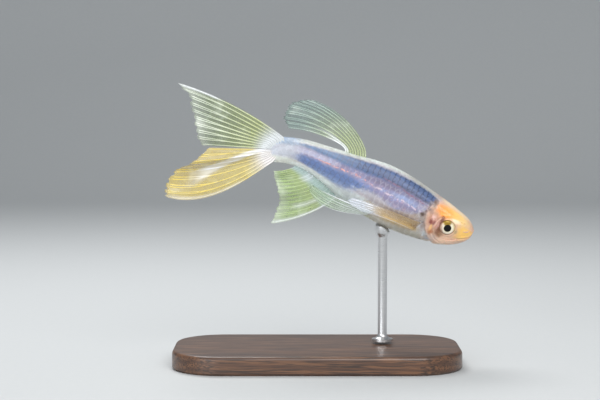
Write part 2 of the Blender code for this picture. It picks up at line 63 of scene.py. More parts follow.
SQUARENESS = (  # share, then the power of the curve over the back and under the belly
    (0.00, 2.2, 2.1), (0.10, 2.5, 2.0), (0.22, 2.3, 1.9),
    (0.45, 2.1, 1.85), (0.75, 2.0, 1.9), (1.00, 2.0, 2.0),
)
GILL_EDGE, TAIL_EDGE = (0.180, 0.225, 0.140), (0.925, 1.000, 0.955)  # at the back, the flank and the belly
EYE_SHARE, EYE_BELOW_SPINE, EYE_OUT, EYE_RADIUS, EYE_FORWARD = 0.112, 0.50, 2.04, 1.24, math.radians(12)
NOSTRILS = ((0.050, 56, 0.15), (0.063, 60, 0.17))  # share, degrees from the back, radius
MOUTH_CORNER = (0.052, 124)  # share, degrees from the back
CHEEK_EDGE = ((0.150, 76), (0.166, 92), (0.170, 108), (0.160, 124), (0.138, 138), (0.112, 148))
COAT_DEPTH = 0.06
HEAD_RINGS, BODY_RINGS, SKIN_SIDES = 150, 150, 224


def smooth(low, high, x):
    t = np.clip((x - low) / (high - low), 0, 1)
    return t * t * (3 - 2 * t)


def curve_through(rows):
    """A function that passes smoothly through rows of (place, values...), with no overshoot."""
    table = np.array(rows, float)
    x, y = table[:, 0], table[:, 1:]
    slope = np.diff(y, axis=0) / np.diff(x)[:, None]
    tangent = np.vstack([slope[:1], (slope[1:] + slope[:-1]) / 2, slope[-1:]])
    tangent[1:-1][slope[1:] * slope[:-1] <= 0] = 0

    def value(at):
        at = np.clip(at, x[0], x[-1])
        k = np.minimum(np.searchsorted(x, at, side="right") - 1, len(x) - 2)
        width = (x[k + 1] - x[k])[..., None]
        t = (at - x[k])[..., None] / width
        return (
            y[k] * (1 + 2 * t) * (1 - t) ** 2 + tangent[k] * width * t * (1 - t) ** 2
            + y[k + 1] * t * t * (3 - 2 * t) + tangent[k + 1] * width * t * t * (t - 1)
        )

    return value


def unit(vectors):
    return vectors / np.maximum(np.linalg.norm(vectors, axis=-1, keepdims=True), 1e-12)


body_size = curve_through([(math.sqrt(row[0]), *row[1:]) for row in BODY])
body_squareness = curve_through(SQUARENESS)


def spine_direction(share):
    """Unit vectors at a share of the length: towards the tail, the back and the fish's right side."""
    pitch = np.radians(NOSE_DOWN - (NOSE_DOWN - STALK_DOWN) * smooth(0.76, 0.93, share))
    yaw = np.radians(HEAD_YAW + (TAIL_YAW - HEAD_YAW) * smooth(0.1, 0.95, share))
    tail = np.stack([-np.cos(yaw) * np.cos(pitch), -np.sin(yaw), np.cos(yaw) * np.sin(pitch)], -1)
    right = unit(-np.cross(tail, [0.0, 0.0, 1.0]))
    up = np.cross(right, tail)
    up *= np.sign(up[..., 2:])
    return tail, up * math.cos(ROLL) + right * math.sin(ROLL), right * math.cos(ROLL) - up * math.sin(ROLL)


spine_steps = spine_direction((np.arange(SPINE_STEPS) + 0.5) / SPINE_STEPS)[0] * LENGTH / SPINE_STEPS
spine = SNOUT + np.vstack([np.zeros(3), np.cumsum(spine_steps, axis=0)])


def in_body_frame(share, above, right):
    share = np.asarray(share, float)
    place = np.clip(share, 0, 1) * SPINE_STEPS
    point = np.stack([np.interp(place, np.arange(SPINE_STEPS + 1), spine[:, k]) for k in range(3)], -1)
    _, up, side = spine_direction(share)
    return point + up * np.asarray(above)[..., None] + side * np.asarray(right)[..., None]


def body_point(share, angle, lift=0.0, squeeze=1.0):
    """A point of the body in mm, lifted off its section. The angle runs from the back over the right side."""
    share, angle, lift, squeeze = np.broadcast_arrays(share, angle, lift, squeeze)
    back, belly, width = np.moveaxis(body_size(np.sqrt(np.maximum(share, 0))), -1, 0)
    upper, lower = np.moveaxis(body_squareness(share), -1, 0)
    sine, cosine = np.sin(angle), np.cos(angle)
    height, power = np.where(cosine >= 0, back, belly), np.where(cosine >= 0, upper, lower)
    width, height = np.maximum(width * squeeze, 1e-4), np.maximum(height, 1e-4)
    across = width * np.sign(sine) * np.abs(sine) ** (2 / power)
    above = height * np.sign(cosine) * np.abs(cosine) ** (2 / power)
    normal = unit(np.stack([
        np.sign(sine) * np.abs(across / width) ** (power - 1) / width,
        np.sign(cosine) * np.abs(above / height) ** (power - 1) / height,
    ], -1))
    return in_body_frame(share, above + normal[..., 1] * lift, across + normal[..., 0] * lift)


def edge_share(edge, angle):
    middle = (edge[0] + edge[2]) / 2
    return middle + (edge[0] - edge[2]) / 2 * np.cos(angle) + (edge[1] - middle) * np.sin(angle) ** 2


def distance_to(points, path):
    """The distance from each point to the nearest point of a path."""
    near = np.full(points.shape[:-1], np.inf)
    for place in np.atleast_2d(path):
        near = np.minimum(near, np.linalg.norm(points - place, axis=-1))
    return near


def eye_place(side):
    """An eye's centre, and the directions towards the tail, up and out of the head."""
    tail, _, right = spine_direction(EYE_SHARE)
    out = right * side * math.cos(EYE_FORWARD) - tail * math.sin(EYE_FORWARD)
    back = unit(tail - out * tail.dot(out))
    centre = in_body_frame(EYE_SHARE, -EYE_BELOW_SPINE, EYE_OUT * side)
    return centre, back, unit(np.cross(back, out) * side), out


def head_relief(points, share, angle):
    """How far the skin stands out from the plain loft, in mm."""
    fold = np.degrees(np.abs((angle + np.pi) % (2 * np.pi) - np.pi))
    behind = (share - edge_share(GILL_EDGE, angle)) * LENGTH
    relief = -COAT_DEPTH * smooth(0.0, 0.8, behind)
    forehead = np.exp(-(((share - 0.046) / 0.03) ** 2)) * (1 - smooth(35, 85, fold))
    relief += 0.15 * forehead
    flank = smooth(44, 74, fold)
    relief += flank * 0.11 * smooth(-1.9, -0.35, behind) * (1 - smooth(-0.13, 0.02, behind))
    relief -= flank * 0.17 * smooth(-0.13, 0.02, behind) * (1 - smooth(0.05, 1.3, behind))
    for side in (1, -1):
        cheek = curve_through([(k, *row) for k, row in enumerate(CHEEK_EDGE)])(np.linspace(0, 5, 60))
        groove = distance_to(points, body_point(cheek[:, 0], np.radians(cheek[:, 1]) * side))
        relief += -0.085 * np.exp(-((groove / 0.11) ** 2)) + 0.035 * np.exp(-(((groove - 0.3) / 0.16) ** 2))
        centre, _, _, out = eye_place(side)
        reach = points - centre
        ring = np.linalg.norm(reach - out * (reach @ out)[..., None], axis=-1)
        ring = np.where(reach @ out > -1.4, ring, 9.0)
        relief += 0.075 * np.exp(-(((ring - EYE_RADIUS - 0.13) / 0.13) ** 2))
        relief += 0.03 * np.exp(-(((ring - EYE_RADIUS - 0.62) / 0.2) ** 2))
        relief -= 1.1 * (1 - smooth(EYE_RADIUS - 0.17, EYE_RADIUS + 0.03, ring))
        for place, degrees, radius in NOSTRILS:
            hole = distance_to(points, body_point(place, math.radians(degrees) * side))
            relief += 0.022 * np.exp(-(((hole - radius * 1.2) / 0.09) ** 2))
            relief -= 0.16 * (1 - smooth(radius * 0.3, radius, hole))
    across = np.linspace(-1, 1, 81)
    corner_share, corner_degrees = MOUTH_CORNER
    mouth = body_point(corner_share * across**2, np.where(across < 0, -1, 1) * math.radians(corner_degrees))
    open_to = distance_to(points, mouth)
    at_corner = smooth(0.035, 0.056, share)
    relief -= 0.17 * np.exp(-((open_to / 0.085) ** 2))
    relief += 0.11 * np.exp(-(((open_to - 0.27) / 0.16) ** 2)) * (1 - at_corner)
    return relief


def made_mesh(name, points, faces, uv_maps=None):
    """An object from points in mm and faces, with a UV map for each named list of corners."""
    mesh = bpy.data.meshes.new(name)
    mesh.from_pydata((np.asarray(points).reshape(-1, 3) * MM).tolist(), [], faces)
    for label, corners in (uv_maps or {}).items():
        layer = mesh.uv_layers.new(name=label)
        layer.data.foreach_set("uv", np.asarray(corners, np.float32).ravel())
    mesh.shade_smooth()
    mesh.update()
    made = bpy.data.objects.new(name, mesh)
    bpy.context.scene.collection.objects.link(made)
    return made


def ring_faces(rings, sides, first=0, turned=False):
    """Quads from each ring of points to the next, the rings lying one after another from the first point."""
    faces = []
    for k in range(rings - 1):
        for j in range(sides):
            here = first + k * sides + j
            beside = first + k * sides + (j + 1) % sides
            quad = (here, beside, beside + sides, here + sides)
            faces.append((quad[0], quad[3], quad[2], quad[1]) if turned else quad)
    return faces


def make_skin():
    head_to = 0.24
    rings = np.concatenate([
        head_to * (np.arange(1, HEAD_RINGS + 1) / HEAD_RINGS) ** 1.5,
        head_to + (1 - head_to) * np.arange(1, BODY_RINGS + 1) / BODY_RINGS,
    ])
    angle = 2 * np.pi * np.arange(SKIN_SIDES) / SKIN_SIDES
    ring, angle = np.meshgrid(rings, angle, indexing="ij")
    end = edge_share(TAIL_EDGE, angle)
    share = ring * (1 + (end - 1) * smooth(0.86, 1.0, ring))
    squeeze = (1 - 0.55 * smooth(end - 0.17, end, share)) * (1 - 0.6 * smooth(end - 0.03, end, share))
    points = body_point(share, angle, 0.0, squeeze)
    normal = unit(np.cross(
        np.roll(points, -1, axis=1) - np.roll(points, 1, axis=1), np.gradient(points, axis=0)
    ))
    outwards = points - in_body_frame(share, 0 * share, 0 * share)
    normal *= np.sign(np.sum(normal * outwards, axis=-1, keepdims=True))
    points = points + normal * head_relief(points, share, angle)[..., None]

    count = len(rings)
    tip, end_middle = count * SKIN_SIDES, count * SKIN_SIDES + 1
    middle = points[-1].mean(axis=0)
    i, j = np.meshgrid(np.arange(count - 1), np.arange(SKIN_SIDES), indexing="ij")
    corner = np.stack([
        np.stack([i, i + 1, i + 1, i], -1), np.stack([j, j, j + 1, j + 1], -1)
    ], -1).reshape(-1, 4, 2)
    faces = (corner[..., 0] * SKIN_SIDES + corner[..., 1] % SKIN_SIDES).tolist()
    start = edge_share(GILL_EDGE, angle)
    along = (share - start) / (end - start)

    def places(rows, columns):
        """Corners on the coat's unwrap, and their share and fold for the markings."""
        wrapped = columns % SKIN_SIDES
        around = columns / SKIN_SIDES
        coat = np.stack([along[rows, wrapped], around], -1)
        marks = np.stack([share[rows, wrapped], 1 - np.abs(2 * around - 1)], -1)
        return coat, marks

    coat, marks = places(corner[..., 0], corner[..., 1])
    coat, marks = coat.reshape(-1, 2), marks.reshape(-1, 2)
    for k in range(SKIN_SIDES):
        for row, apex, order in ((0, tip, (k, k + 1)), (count - 1, end_middle, (k + 1, k))):
            faces.append([apex] + [row * SKIN_SIDES + column % SKIN_SIDES for column in order])
            two_coat, two_marks = places(np.array([row, row]), np.array(order))
            coat = np.vstack([coat, two_coat.mean(axis=0), two_coat])
            marks = np.vstack([marks, [[0.0 if row == 0 else 1.0, two_marks[:, 1].mean()]], two_marks])
    points = np.vstack([points.reshape(-1, 3), SNOUT, middle])
    return made_mesh("skin", points, faces, {"coat": coat, "markings": marks})


skin = make_skin()


def tone(red, green, blue):
    """A colour as it shows on a screen, made into Blender's own."""
    shown = [level / 255 for level in (red, green, blue)]
    return (*[v / 12.92 if v <= 10 / 255 else ((v + 0.055) / 1.055) ** 2.4 for v in shown], 1.0)


class Recipe:
    """Nodes of a material or a group, added one by one. Inputs go by place or by name."""

    def __init__(self, tree):
        self.tree = tree

    def put(self, socket, value):
        if isinstance(value, bpy.types.NodeSocket):
            self.tree.links.new(value, socket)
        elif value is not None:
            socket.default_value = value

    def add(self, kind, *values, out=0, named=None, **settings):
        node = self.tree.nodes.new(kind)
        for key, value in settings.items():
            setattr(node, key, value)
        for socket, value in zip(node.inputs, values):
            self.put(socket, value)
        for key, value in (named or {}).items():
            self.put(node.inputs[key], value)
        return node.outputs[out]

    def sum(self, operation, *values):
        return self.add("ShaderNodeMath", *values, operation=operation)

    def times(self, product, *factors):
        for factor in factors:
            product = self.sum("MULTIPLY", product, factor)
        return product

    def rest(self, value):
        """What is left of one."""
        return self.sum("SUBTRACT", 1.0, value)

    def shifted(self, value, chance, amount):
        """The value, moved up or down by a noise whose middle is a half."""
        return self.sum("MULTIPLY_ADD", self.sum("SUBTRACT", chance, 0.5), amount, value)

    def length(self, vector):
        return self.add("ShaderNodeVectorMath", vector, operation="LENGTH", out=1)

    def mapped(self, place, **settings):
        """The place, changed by a Location, a Rotation and a Scale."""
        return self.add("ShaderNodeMapping", place, named=settings)

    def bump(self, strength, distance, height, below=None):
        return self.add("ShaderNodeBump", named={
            "Strength": strength, "Distance": distance, "Height": height, "Normal": below})

    def fade(self, value, low, high):
        return self.add("ShaderNodeMapRange", value, low, high, 0.0, 1.0, interpolation_type="SMOOTHSTEP")

    def blend(self, factor, first, second):
        node = self.tree.nodes.new("ShaderNodeMix")
        node.data_type = "RGBA"
        for place, value in ((0, factor), (6, first), (7, second)):
            self.put(node.inputs[place], value)
        return node.outputs[2]

    def noise(self, place, scale, detail=3.0, out=0):
        return self.add("ShaderNodeTexNoise", out=out, named={
            "Vector": place, "Scale": scale, "Detail": detail})

    def line(self, value, points):
        """A value read off a curve through points."""
        node = self.tree.nodes.new("ShaderNodeFloatCurve")
        curve = node.mapping.curves[0]
        while len(curve.points) < len(points):
            curve.points.new(0.5, 0.5)
        for point, place in zip(curve.points, sorted(points)):
            point.location = place
        node.mapping.update()
        self.put(node.inputs["Value"], value)
        return node.outputs[0]


# Stripes of the flank: colour, soft edge in degrees, strength, lengths in shares over which the front and the
# rear end fade, then share, upper and lower edge in degrees.
STRIPES = (
    ((146, 136, 166), 7, 1.0, 0.045, 0.05,
        ((0.24, 56, 95), (0.28, 58, 98), (0.34, 58, 104), (0.45, 56, 98), (0.60, 56, 92),
         (0.87, 58, 92))),
    ((150, 170, 212), 5, 0.55, 0.04, 0.04, ((0.28, 72, 86), (0.36, 71, 85), (0.40, 74, 84))),
    ((86, 104, 144), 7, 1.0, 0.012, 0.08,
        ((0.208, 24, 52), (0.24, 18, 58), (0.30, 17, 61), (0.36, 23, 61), (0.42, 27, 61),
         (0.52, 29, 62), (0.60, 30, 62), (0.64, 30, 64))),
    ((68, 92, 134), 9, 1.0, 0.03, 0.04,
        ((0.42, 32, 56), (0.52, 33, 62), (0.60, 32, 61), (0.66, 32, 64))),
    ((98, 122, 158), 7, 1.0, 0.06, 0.05,
        ((0.60, 30, 62), (0.70, 33, 62), (0.80, 38, 58), (0.88, 44, 54))),
    ((104, 124, 172), 7, 1.0, 0.075, 0.06,
        ((0.50, 87, 99), (0.56, 86, 108), (0.62, 86, 120), (0.70, 88, 127), (0.80, 89, 127),
         (0.88, 92, 119))),
    ((204, 176, 128), 6, 0.92, 0.02, 0.05,
        ((0.23, 122, 134), (0.28, 115, 136), (0.34, 121, 140), (0.42, 118, 138), (0.52, 122, 140))),
    ((186, 180, 162), 9, 0.7, 0.03, 0.06, ((0.19, 136, 181), (0.36, 150, 181))),
    ((208, 210, 210), 6, 1.0, 0.05, 0.03,
        ((0.47, 120, 150), (0.55, 117, 172), (0.65, 129, 180), (0.80, 132, 180), (0.92, 128, 180))),
    ((210, 212, 205), 9, 1.0, 0.02, 0.02,
        ((0.13, -9, 8), (0.30, -9, 9), (0.36, -9, 14), (0.45, -9, 18), (0.52, -9, 18), (0.60, -9, 23),
         (0.75, -9, 31), (0.88, -9, 42))),
    ((168, 164, 156), 6, 0.85, 0.03, 0.07, ((0.17, -9, 10), (0.38, -9, 12))),
    ((204, 204, 214), 2, 0.7, 0.03, 0.02, ((0.50, 104, 107), (0.58, 104, 108))),
    ((172, 150, 136), 5, 0.85, 0.02, 0.05,
        ((0.24, 91, 112), (0.28, 99, 114), (0.34, 106, 120), (0.42, 107, 116))),
    ((112, 102, 124), 5, 0.6, 0.03, 0.05,
        ((0.23, 60, 74), (0.35, 60, 74), (0.45, 61, 76), (0.54, 66, 78))),
    ((56, 70, 110), 8, 0.6, 0.02, 0.05,
        ((0.215, 40, 56), (0.28, 46, 61), (0.40, 42, 61), (0.50, 40, 56), (0.58, 42, 54),
         (0.68, 38, 52))),
    ((84, 78, 100), 2, 0.6, 0.02, 0.03, ((0.23, 57, 61), (0.34, 55, 59), (0.44, 56, 60))),
    ((142, 160, 200), 7, 0.65, 0.05, 0.05, ((0.57, 103, 120), (0.66, 111, 130), (0.80, 117, 131))),
    ((208, 206, 224), 6, 0.5, 0.05, 0.04, ((0.68, 64, 78), (0.80, 62, 82), (0.90, 60, 84))),
    # painted light: the lower belly made paler to lift the shade that falls under it
    ((240, 246, 244), 9, 0.9, 0.05, 0.05, ((0.56, 142, 181), (0.80, 134, 181), (0.94, 136, 181))),
    ((192, 196, 154), 8, 0.6, 0.03, 0.04, ((0.44, 150, 181), (0.53, 152, 181))),
)
LAVENDER, UPPER_BAND, UPPER_BAND_REAR, LOWER_BAND = 0, 2, 4, 5  # rows of the stripes
# Thin lines of the flank, in the same form, which break up into dashes.
LINES = (
    ((236, 160, 138), 1.6, 1.0, 0.03, 0.07,
        ((0.51, 79.5, 83.5), (0.55, 77, 81), (0.60, 75.5, 79.5), (0.65, 78, 82), (0.75, 81, 85))),
    ((226, 200, 212), 1.6, 0.9, 0.02, 0.02,
        ((0.25, 87, 90), (0.35, 84, 87), (0.42, 83, 86), (0.48, 82, 85))),
    ((136, 98, 120), 1.8, 0.8, 0.02, 0.02,
        ((0.23, 66, 70), (0.30, 64, 67), (0.37, 59, 62), (0.46, 55, 58))),
)
# Spots of the head, a few of them painted highlight and shade: colour, share, degrees from the back, half
# length in shares, half width in degrees, strength. One with a short half length has a more ragged edge.
SPOTS = (
    ((230, 206, 176), 0.105, 0, 0.110, 26, 0.95),
    ((226, 194, 130), 0.072, 44, 0.050, 36, 0.9),
    ((236, 186, 102), 0.116, 44, 0.052, 32, 0.9),
    ((238, 154, 62), 0.147, 58, 0.045, 29, 1.0),
    ((226, 138, 52), 0.176, 54, 0.018, 15, 0.8),
    ((236, 190, 92), 0.034, 98, 0.042, 34, 0.9),
    # painted highlight: a pale patch of wet gloss above and ahead of the eye
    ((246, 224, 200), 0.089, 67, 0.026, 10, 0.75),
    ((248, 212, 186), 0.095, 138, 0.055, 17, 0.9),
    ((214, 194, 168), 0.100, 172, 0.080, 20, 0.9),
    ((120, 74, 48), 0.142, 102, 0.022, 28, 0.95),
    ((182, 128, 108), 0.182, 92, 0.030, 19, 0.9),
    ((232, 196, 186), 0.185, 85, 0.011, 9, 0.8),
    ((220, 180, 164), 0.170, 97, 0.008, 10, 0.7),
    ((198, 180, 170), 0.170, 142, 0.042, 22, 0.9),
    ((172, 112, 78), 0.174, 119, 0.014, 10, 0.9),
    ((226, 178, 112), 0.180, 110, 0.008, 9, 0.8),
    ((206, 158, 148), 0.154, 101, 0.008, 12, 0.7),
    ((132, 64, 54), 0.188, 97, 0.010, 7, 0.95),
    ((140, 82, 76), 0.174, 98, 0.007, 6, 0.85),
    ((150, 116, 88), 0.130, 121, 0.014, 10, 0.7),
    ((222, 222, 224), 0.193, 134, 0.016, 10, 0.85),
    ((198, 200, 208), 0.172, 147, 0.016, 9, 0.7),
    ((158, 132, 126), 0.250, 117, 0.012, 8, 0.6),
    ((120, 66, 50), 0.146, 86, 0.009, 14, 0.85),
    # painted shade: the dark front corner of the orbit
    ((168, 146, 106), 0.073, 101, 0.008, 8, 0.8),
    ((150, 134, 122), 0.228, 97, 0.020, 15, 0.7),
    ((84, 64, 54), 0.236, 91, 0.013, 6, 0.9),
    ((112, 96, 100), 0.216, 73, 0.012, 5, 0.7),
    ((118, 100, 100), 0.226, 81, 0.008, 4, 0.6),
    ((126, 112, 122), 0.249, 122, 0.014, 6, 0.65),
    ((104, 80, 68), 0.204, 47, 0.014, 24, 0.9),
    ((98, 88, 94), 0.221, 56, 0.010, 13, 0.8),
    ((160, 128, 116), 0.203, 76, 0.011, 11, 0.8),
    ((186, 140, 112), 0.183, 76, 0.010, 11, 0.6),
    ((132, 116, 112), 0.222, 72, 0.009, 8, 0.6),
    ((176, 150, 144), 0.200, 8, 0.024, 20, 0.65),
    ((146, 128, 118), 0.213, 112, 0.012, 9, 0.75),
)


def make_markings():
    """A group that turns a place on the body into its colour, with a little painted highlight, shade and
    sheen, shared by the skin and the scales.
    """
    tree = bpy.data.node_groups.new("markings", "ShaderNodeTree")
    tree.interface.new_socket("Place", in_out="INPUT", socket_type="NodeSocketVector")
    tree.interface.new_socket("Colour", in_out="OUTPUT", socket_type="NodeSocketColor")
    tree.interface.new_socket("Blue", in_out="OUTPUT", socket_type="NodeSocketFloat")
    mix = Recipe(tree)
    place = mix.add("NodeGroupInput")
    here = mix.add("ShaderNodeTexCoord", out=3)
    wander = mix.add("ShaderNodeSeparateXYZ", mix.noise(here, 1100.0, 3.0, out=1))
    spot = mix.add("ShaderNodeSeparateXYZ", place)
    share = mix.shifted(spot, wander, 0.010)
    fold = mix.shifted(spot.node.outputs[1], wander.node.outputs[1], 0.055)
    degrees = mix.times(fold, 180.0)
    speckle = mix.noise(here, 4200.0, 4.0)
    ragged = mix.noise(here, 2600.0, 3.0)
    dashes = mix.fade(mix.noise(mix.mapped(here, Scale=(1.0, 1.0, 0.3)), 1500.0, 2.0), 0.36, 0.50)

    def stripe(soft, strength, fades_in, fades_out, rows):
        first, last = rows[0][0], rows[-1][0]
        shift, edge = 0.1, soft / 180  # a curve runs from 0 to 1, so both sides are shifted into it
        top = mix.line(share, [(row[0], row[1] / 180 + shift) for row in rows])
        bottom = mix.line(share, [(row[0], row[2] / 180 - shift) for row in rows])
        inside = mix.times(
            mix.fade(mix.sum("SUBTRACT", fold, top), -shift - edge, -shift + edge),
            mix.fade(mix.sum("SUBTRACT", bottom, fold), -shift - edge, -shift + edge))
        uneven = mix.shifted(share, ragged, 2.5 * fades_in)
        lengthwise = mix.times(mix.fade(uneven, first - fades_in, first + fades_in),
            mix.rest(mix.fade(share, last - fades_out, last + fades_out)))
        return mix.times(inside, lengthwise, strength)

    # The belly is silvery beige, the stalk lilac white, with a blue tint above and a cream one below.
    colour = mix.blend(mix.fade(degrees, 104.0, 150.0), tone(190, 182, 188), tone(206, 198, 184))
    # the lavender's random blue and pink patches, partly painted iridescent sheen
    shine = mix.noise(mix.mapped(here, Scale=(0.6, 1.0, 1.0), Rotation=(0.0, -0.44, 0.0)), 1300.0, 2.0, out=1)
    shine = mix.add("ShaderNodeSeparateXYZ", shine)
    bands = []
    for k, (shade, *form) in enumerate(STRIPES):
        bands.append(stripe(*form))
        colour = mix.blend(bands[k], colour, tone(*shade))
        if k == LAVENDER:  # it plays into blue and pink
            bluish = mix.times(mix.fade(shine, 0.50, 0.66), mix.times(bands[k], 0.55))
            colour = mix.blend(bluish, colour, tone(146, 160, 206))
            pinkish = mix.times(mix.fade(shine.node.outputs[1], 0.54, 0.70), mix.times(bands[k], 0.6))
            colour = mix.blend(pinkish, colour, tone(196, 166, 178))
    for shade, *form in LINES:
        colour = mix.blend(mix.times(stripe(*form), dashes), colour, tone(*shade))
    stalk = mix.blend(mix.fade(degrees, 50.0, 70.0), tone(160, 176, 198), tone(200, 200, 210))
    stalk = mix.blend(mix.fade(degrees, 105.0, 130.0), stalk, tone(224, 226, 216))
    rear = mix.shifted(share, ragged, 0.06)
    colour = mix.blend(mix.fade(rear, 0.825, 0.915), colour, stalk)

    # The head keeps to its own side of the gill cover's edge.
    turn = mix.times(spot.node.outputs[1], math.pi)
    back, flank, belly = GILL_EDGE
    between = (back + belly) / 2
    gill = mix.sum("MULTIPLY_ADD", mix.sum("COSINE", turn), (back - belly) / 2, between)
    gill = mix.sum("MULTIPLY_ADD", mix.sum("POWER", mix.sum("SINE", turn), 2.0), flank - between, gill)
    before_gill = mix.fade(mix.sum("SUBTRACT", gill, share), -0.012, 0.016)
    colour = mix.blend(mix.times(before_gill, 0.9), colour, tone(208, 168, 140))
    for shade, at, angle, long, wide, strength in SPOTS:
        along = mix.sum("DIVIDE", mix.sum("SUBTRACT", share, at), long)
        around = mix.sum("DIVIDE", mix.sum("SUBTRACT", degrees, float(angle)), float(wide))
        reach = mix.sum("SQRT", mix.sum("MULTIPLY_ADD", along, along, mix.times(around, around)))
        reach = mix.shifted(reach, ragged, 1.1 if long < 0.02 else 0.45)
        cover = mix.rest(mix.fade(reach, 0.30, 1.30))
        colour = mix.blend(mix.times(cover, strength), colour, tone(*shade))
    mottle = mix.shifted(1.0, speckle, 0.30)
    colour = mix.add("ShaderNodeVectorMath", colour, mottle, operation="MULTIPLY")
    rear_blue = mix.times(mix.sum("ADD", bands[UPPER_BAND_REAR], bands[LOWER_BAND]), 0.55)
    blue = mix.sum("MAXIMUM", bands[UPPER_BAND], rear_blue)
    end = tree.nodes.new("NodeGroupOutput")
    tree.links.new(colour, end.inputs[0])
    tree.links.new(blue, end.inputs[1])
    return tree


markings = make_markings()


def new_finish(name, numbers):
    """A material, its recipe, and the inputs of its shader, some of which are plain numbers."""
    material = bpy.data.materials.new(name)
    material.use_nodes = True
    shader = material.node_tree.nodes["Principled BSDF"].inputs
    for label, value in numbers.items():
        shader[label].default_value = value
    return material, Recipe(material.node_tree), shader


def marked(mix):
    """The markings' colour and blue at the piece's own place on the body."""
    node = mix.tree.nodes.new("ShaderNodeGroup")
    node.node_tree = markings
    mix.put(node.inputs[0], mix.add("ShaderNodeUVMap", uv_map="markings"))
    return node.outputs[0], node.outputs[1]


def make_skin_finish():
    material, mix, shader = new_finish("wet_skin", {
        "Subsurface Weight": 0.35, "Subsurface Radius": (1.0, 0.55, 0.40), "Subsurface Scale": 0.0006,
        "Coat Weight": 0.36, "Coat Roughness": 0.12})
    colour, _ = marked(mix)
    here = mix.add("ShaderNodeTexCoord", out=3)
    pores = mix.add("ShaderNodeTexVoronoi", named={"Vector": here, "Scale": 7000.0})
    folds = mix.noise(here, 1600.0, 4.0)
    mix.put(shader["Base Color"], colour)
    mix.put(shader["Roughness"], mix.sum("MULTIPLY_ADD", folds, 0.22, 0.26))
    mix.put(shader["Normal"], mix.bump(0.45, 0.00008, folds, mix.bump(0.35, 0.00003, pores)))
    return material


skin.data.materials.append(make_skin_finish())
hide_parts("head", "trunk", "tail_stalk")
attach(skin, "root")

# Scales
# Some thirty rows of thin round scales overlap from the gill cover to the tail like roof tiles, each with
# its front sunk in the skin and its rear edge free. They are laid out on the skin's unwrap and bent to it.
SCALE_ROWS, SCALE_COLUMNS, SCALE_LIFT = 26, 30, 0.055
BAKE_PATCH = (0.0015, 0.0015, 0.0)  # the size of a scale's own patch on the unwrap


def make_plate():
    """One flat scale in row and column spacings, tail end towards +X, with its height as an attribute."""
    sides = 14
    turns = [2 * math.pi * (k + 0.5) / sides for k in range(sides)]
    spots = [(0.0, 0.0, 0.0)]
    for ring, drop in ((0.6, 0.0), (1.0, 0.0), (0.97, 0.75)):
        spots += [(0.90 * ring * math.cos(t), 0.96 * ring * math.sin(t), drop) for t in turns]
    height = [-0.25 + 1.25 * (x + 0.9) / 1.8 - 0.22 * y * y - drop for x, y, drop in spots]
    faces = [(0, 1 + k, 1 + (k + 1) % sides) for k in range(sides)]
    faces += ring_faces(3, sides, 1, turned=True)
    faces.append([1 + 2 * sides + k for k in range(sides)][::-1])
    corners = [spots[v][:2] for face in faces for v in face]
    plate = made_mesh("plate", [(x / MM, y / MM, 0) for x, y, _ in spots], faces, {"plate": corners})
    plate.data.attributes.new("height", "FLOAT", "POINT").data.foreach_set("value", height)
    return plate


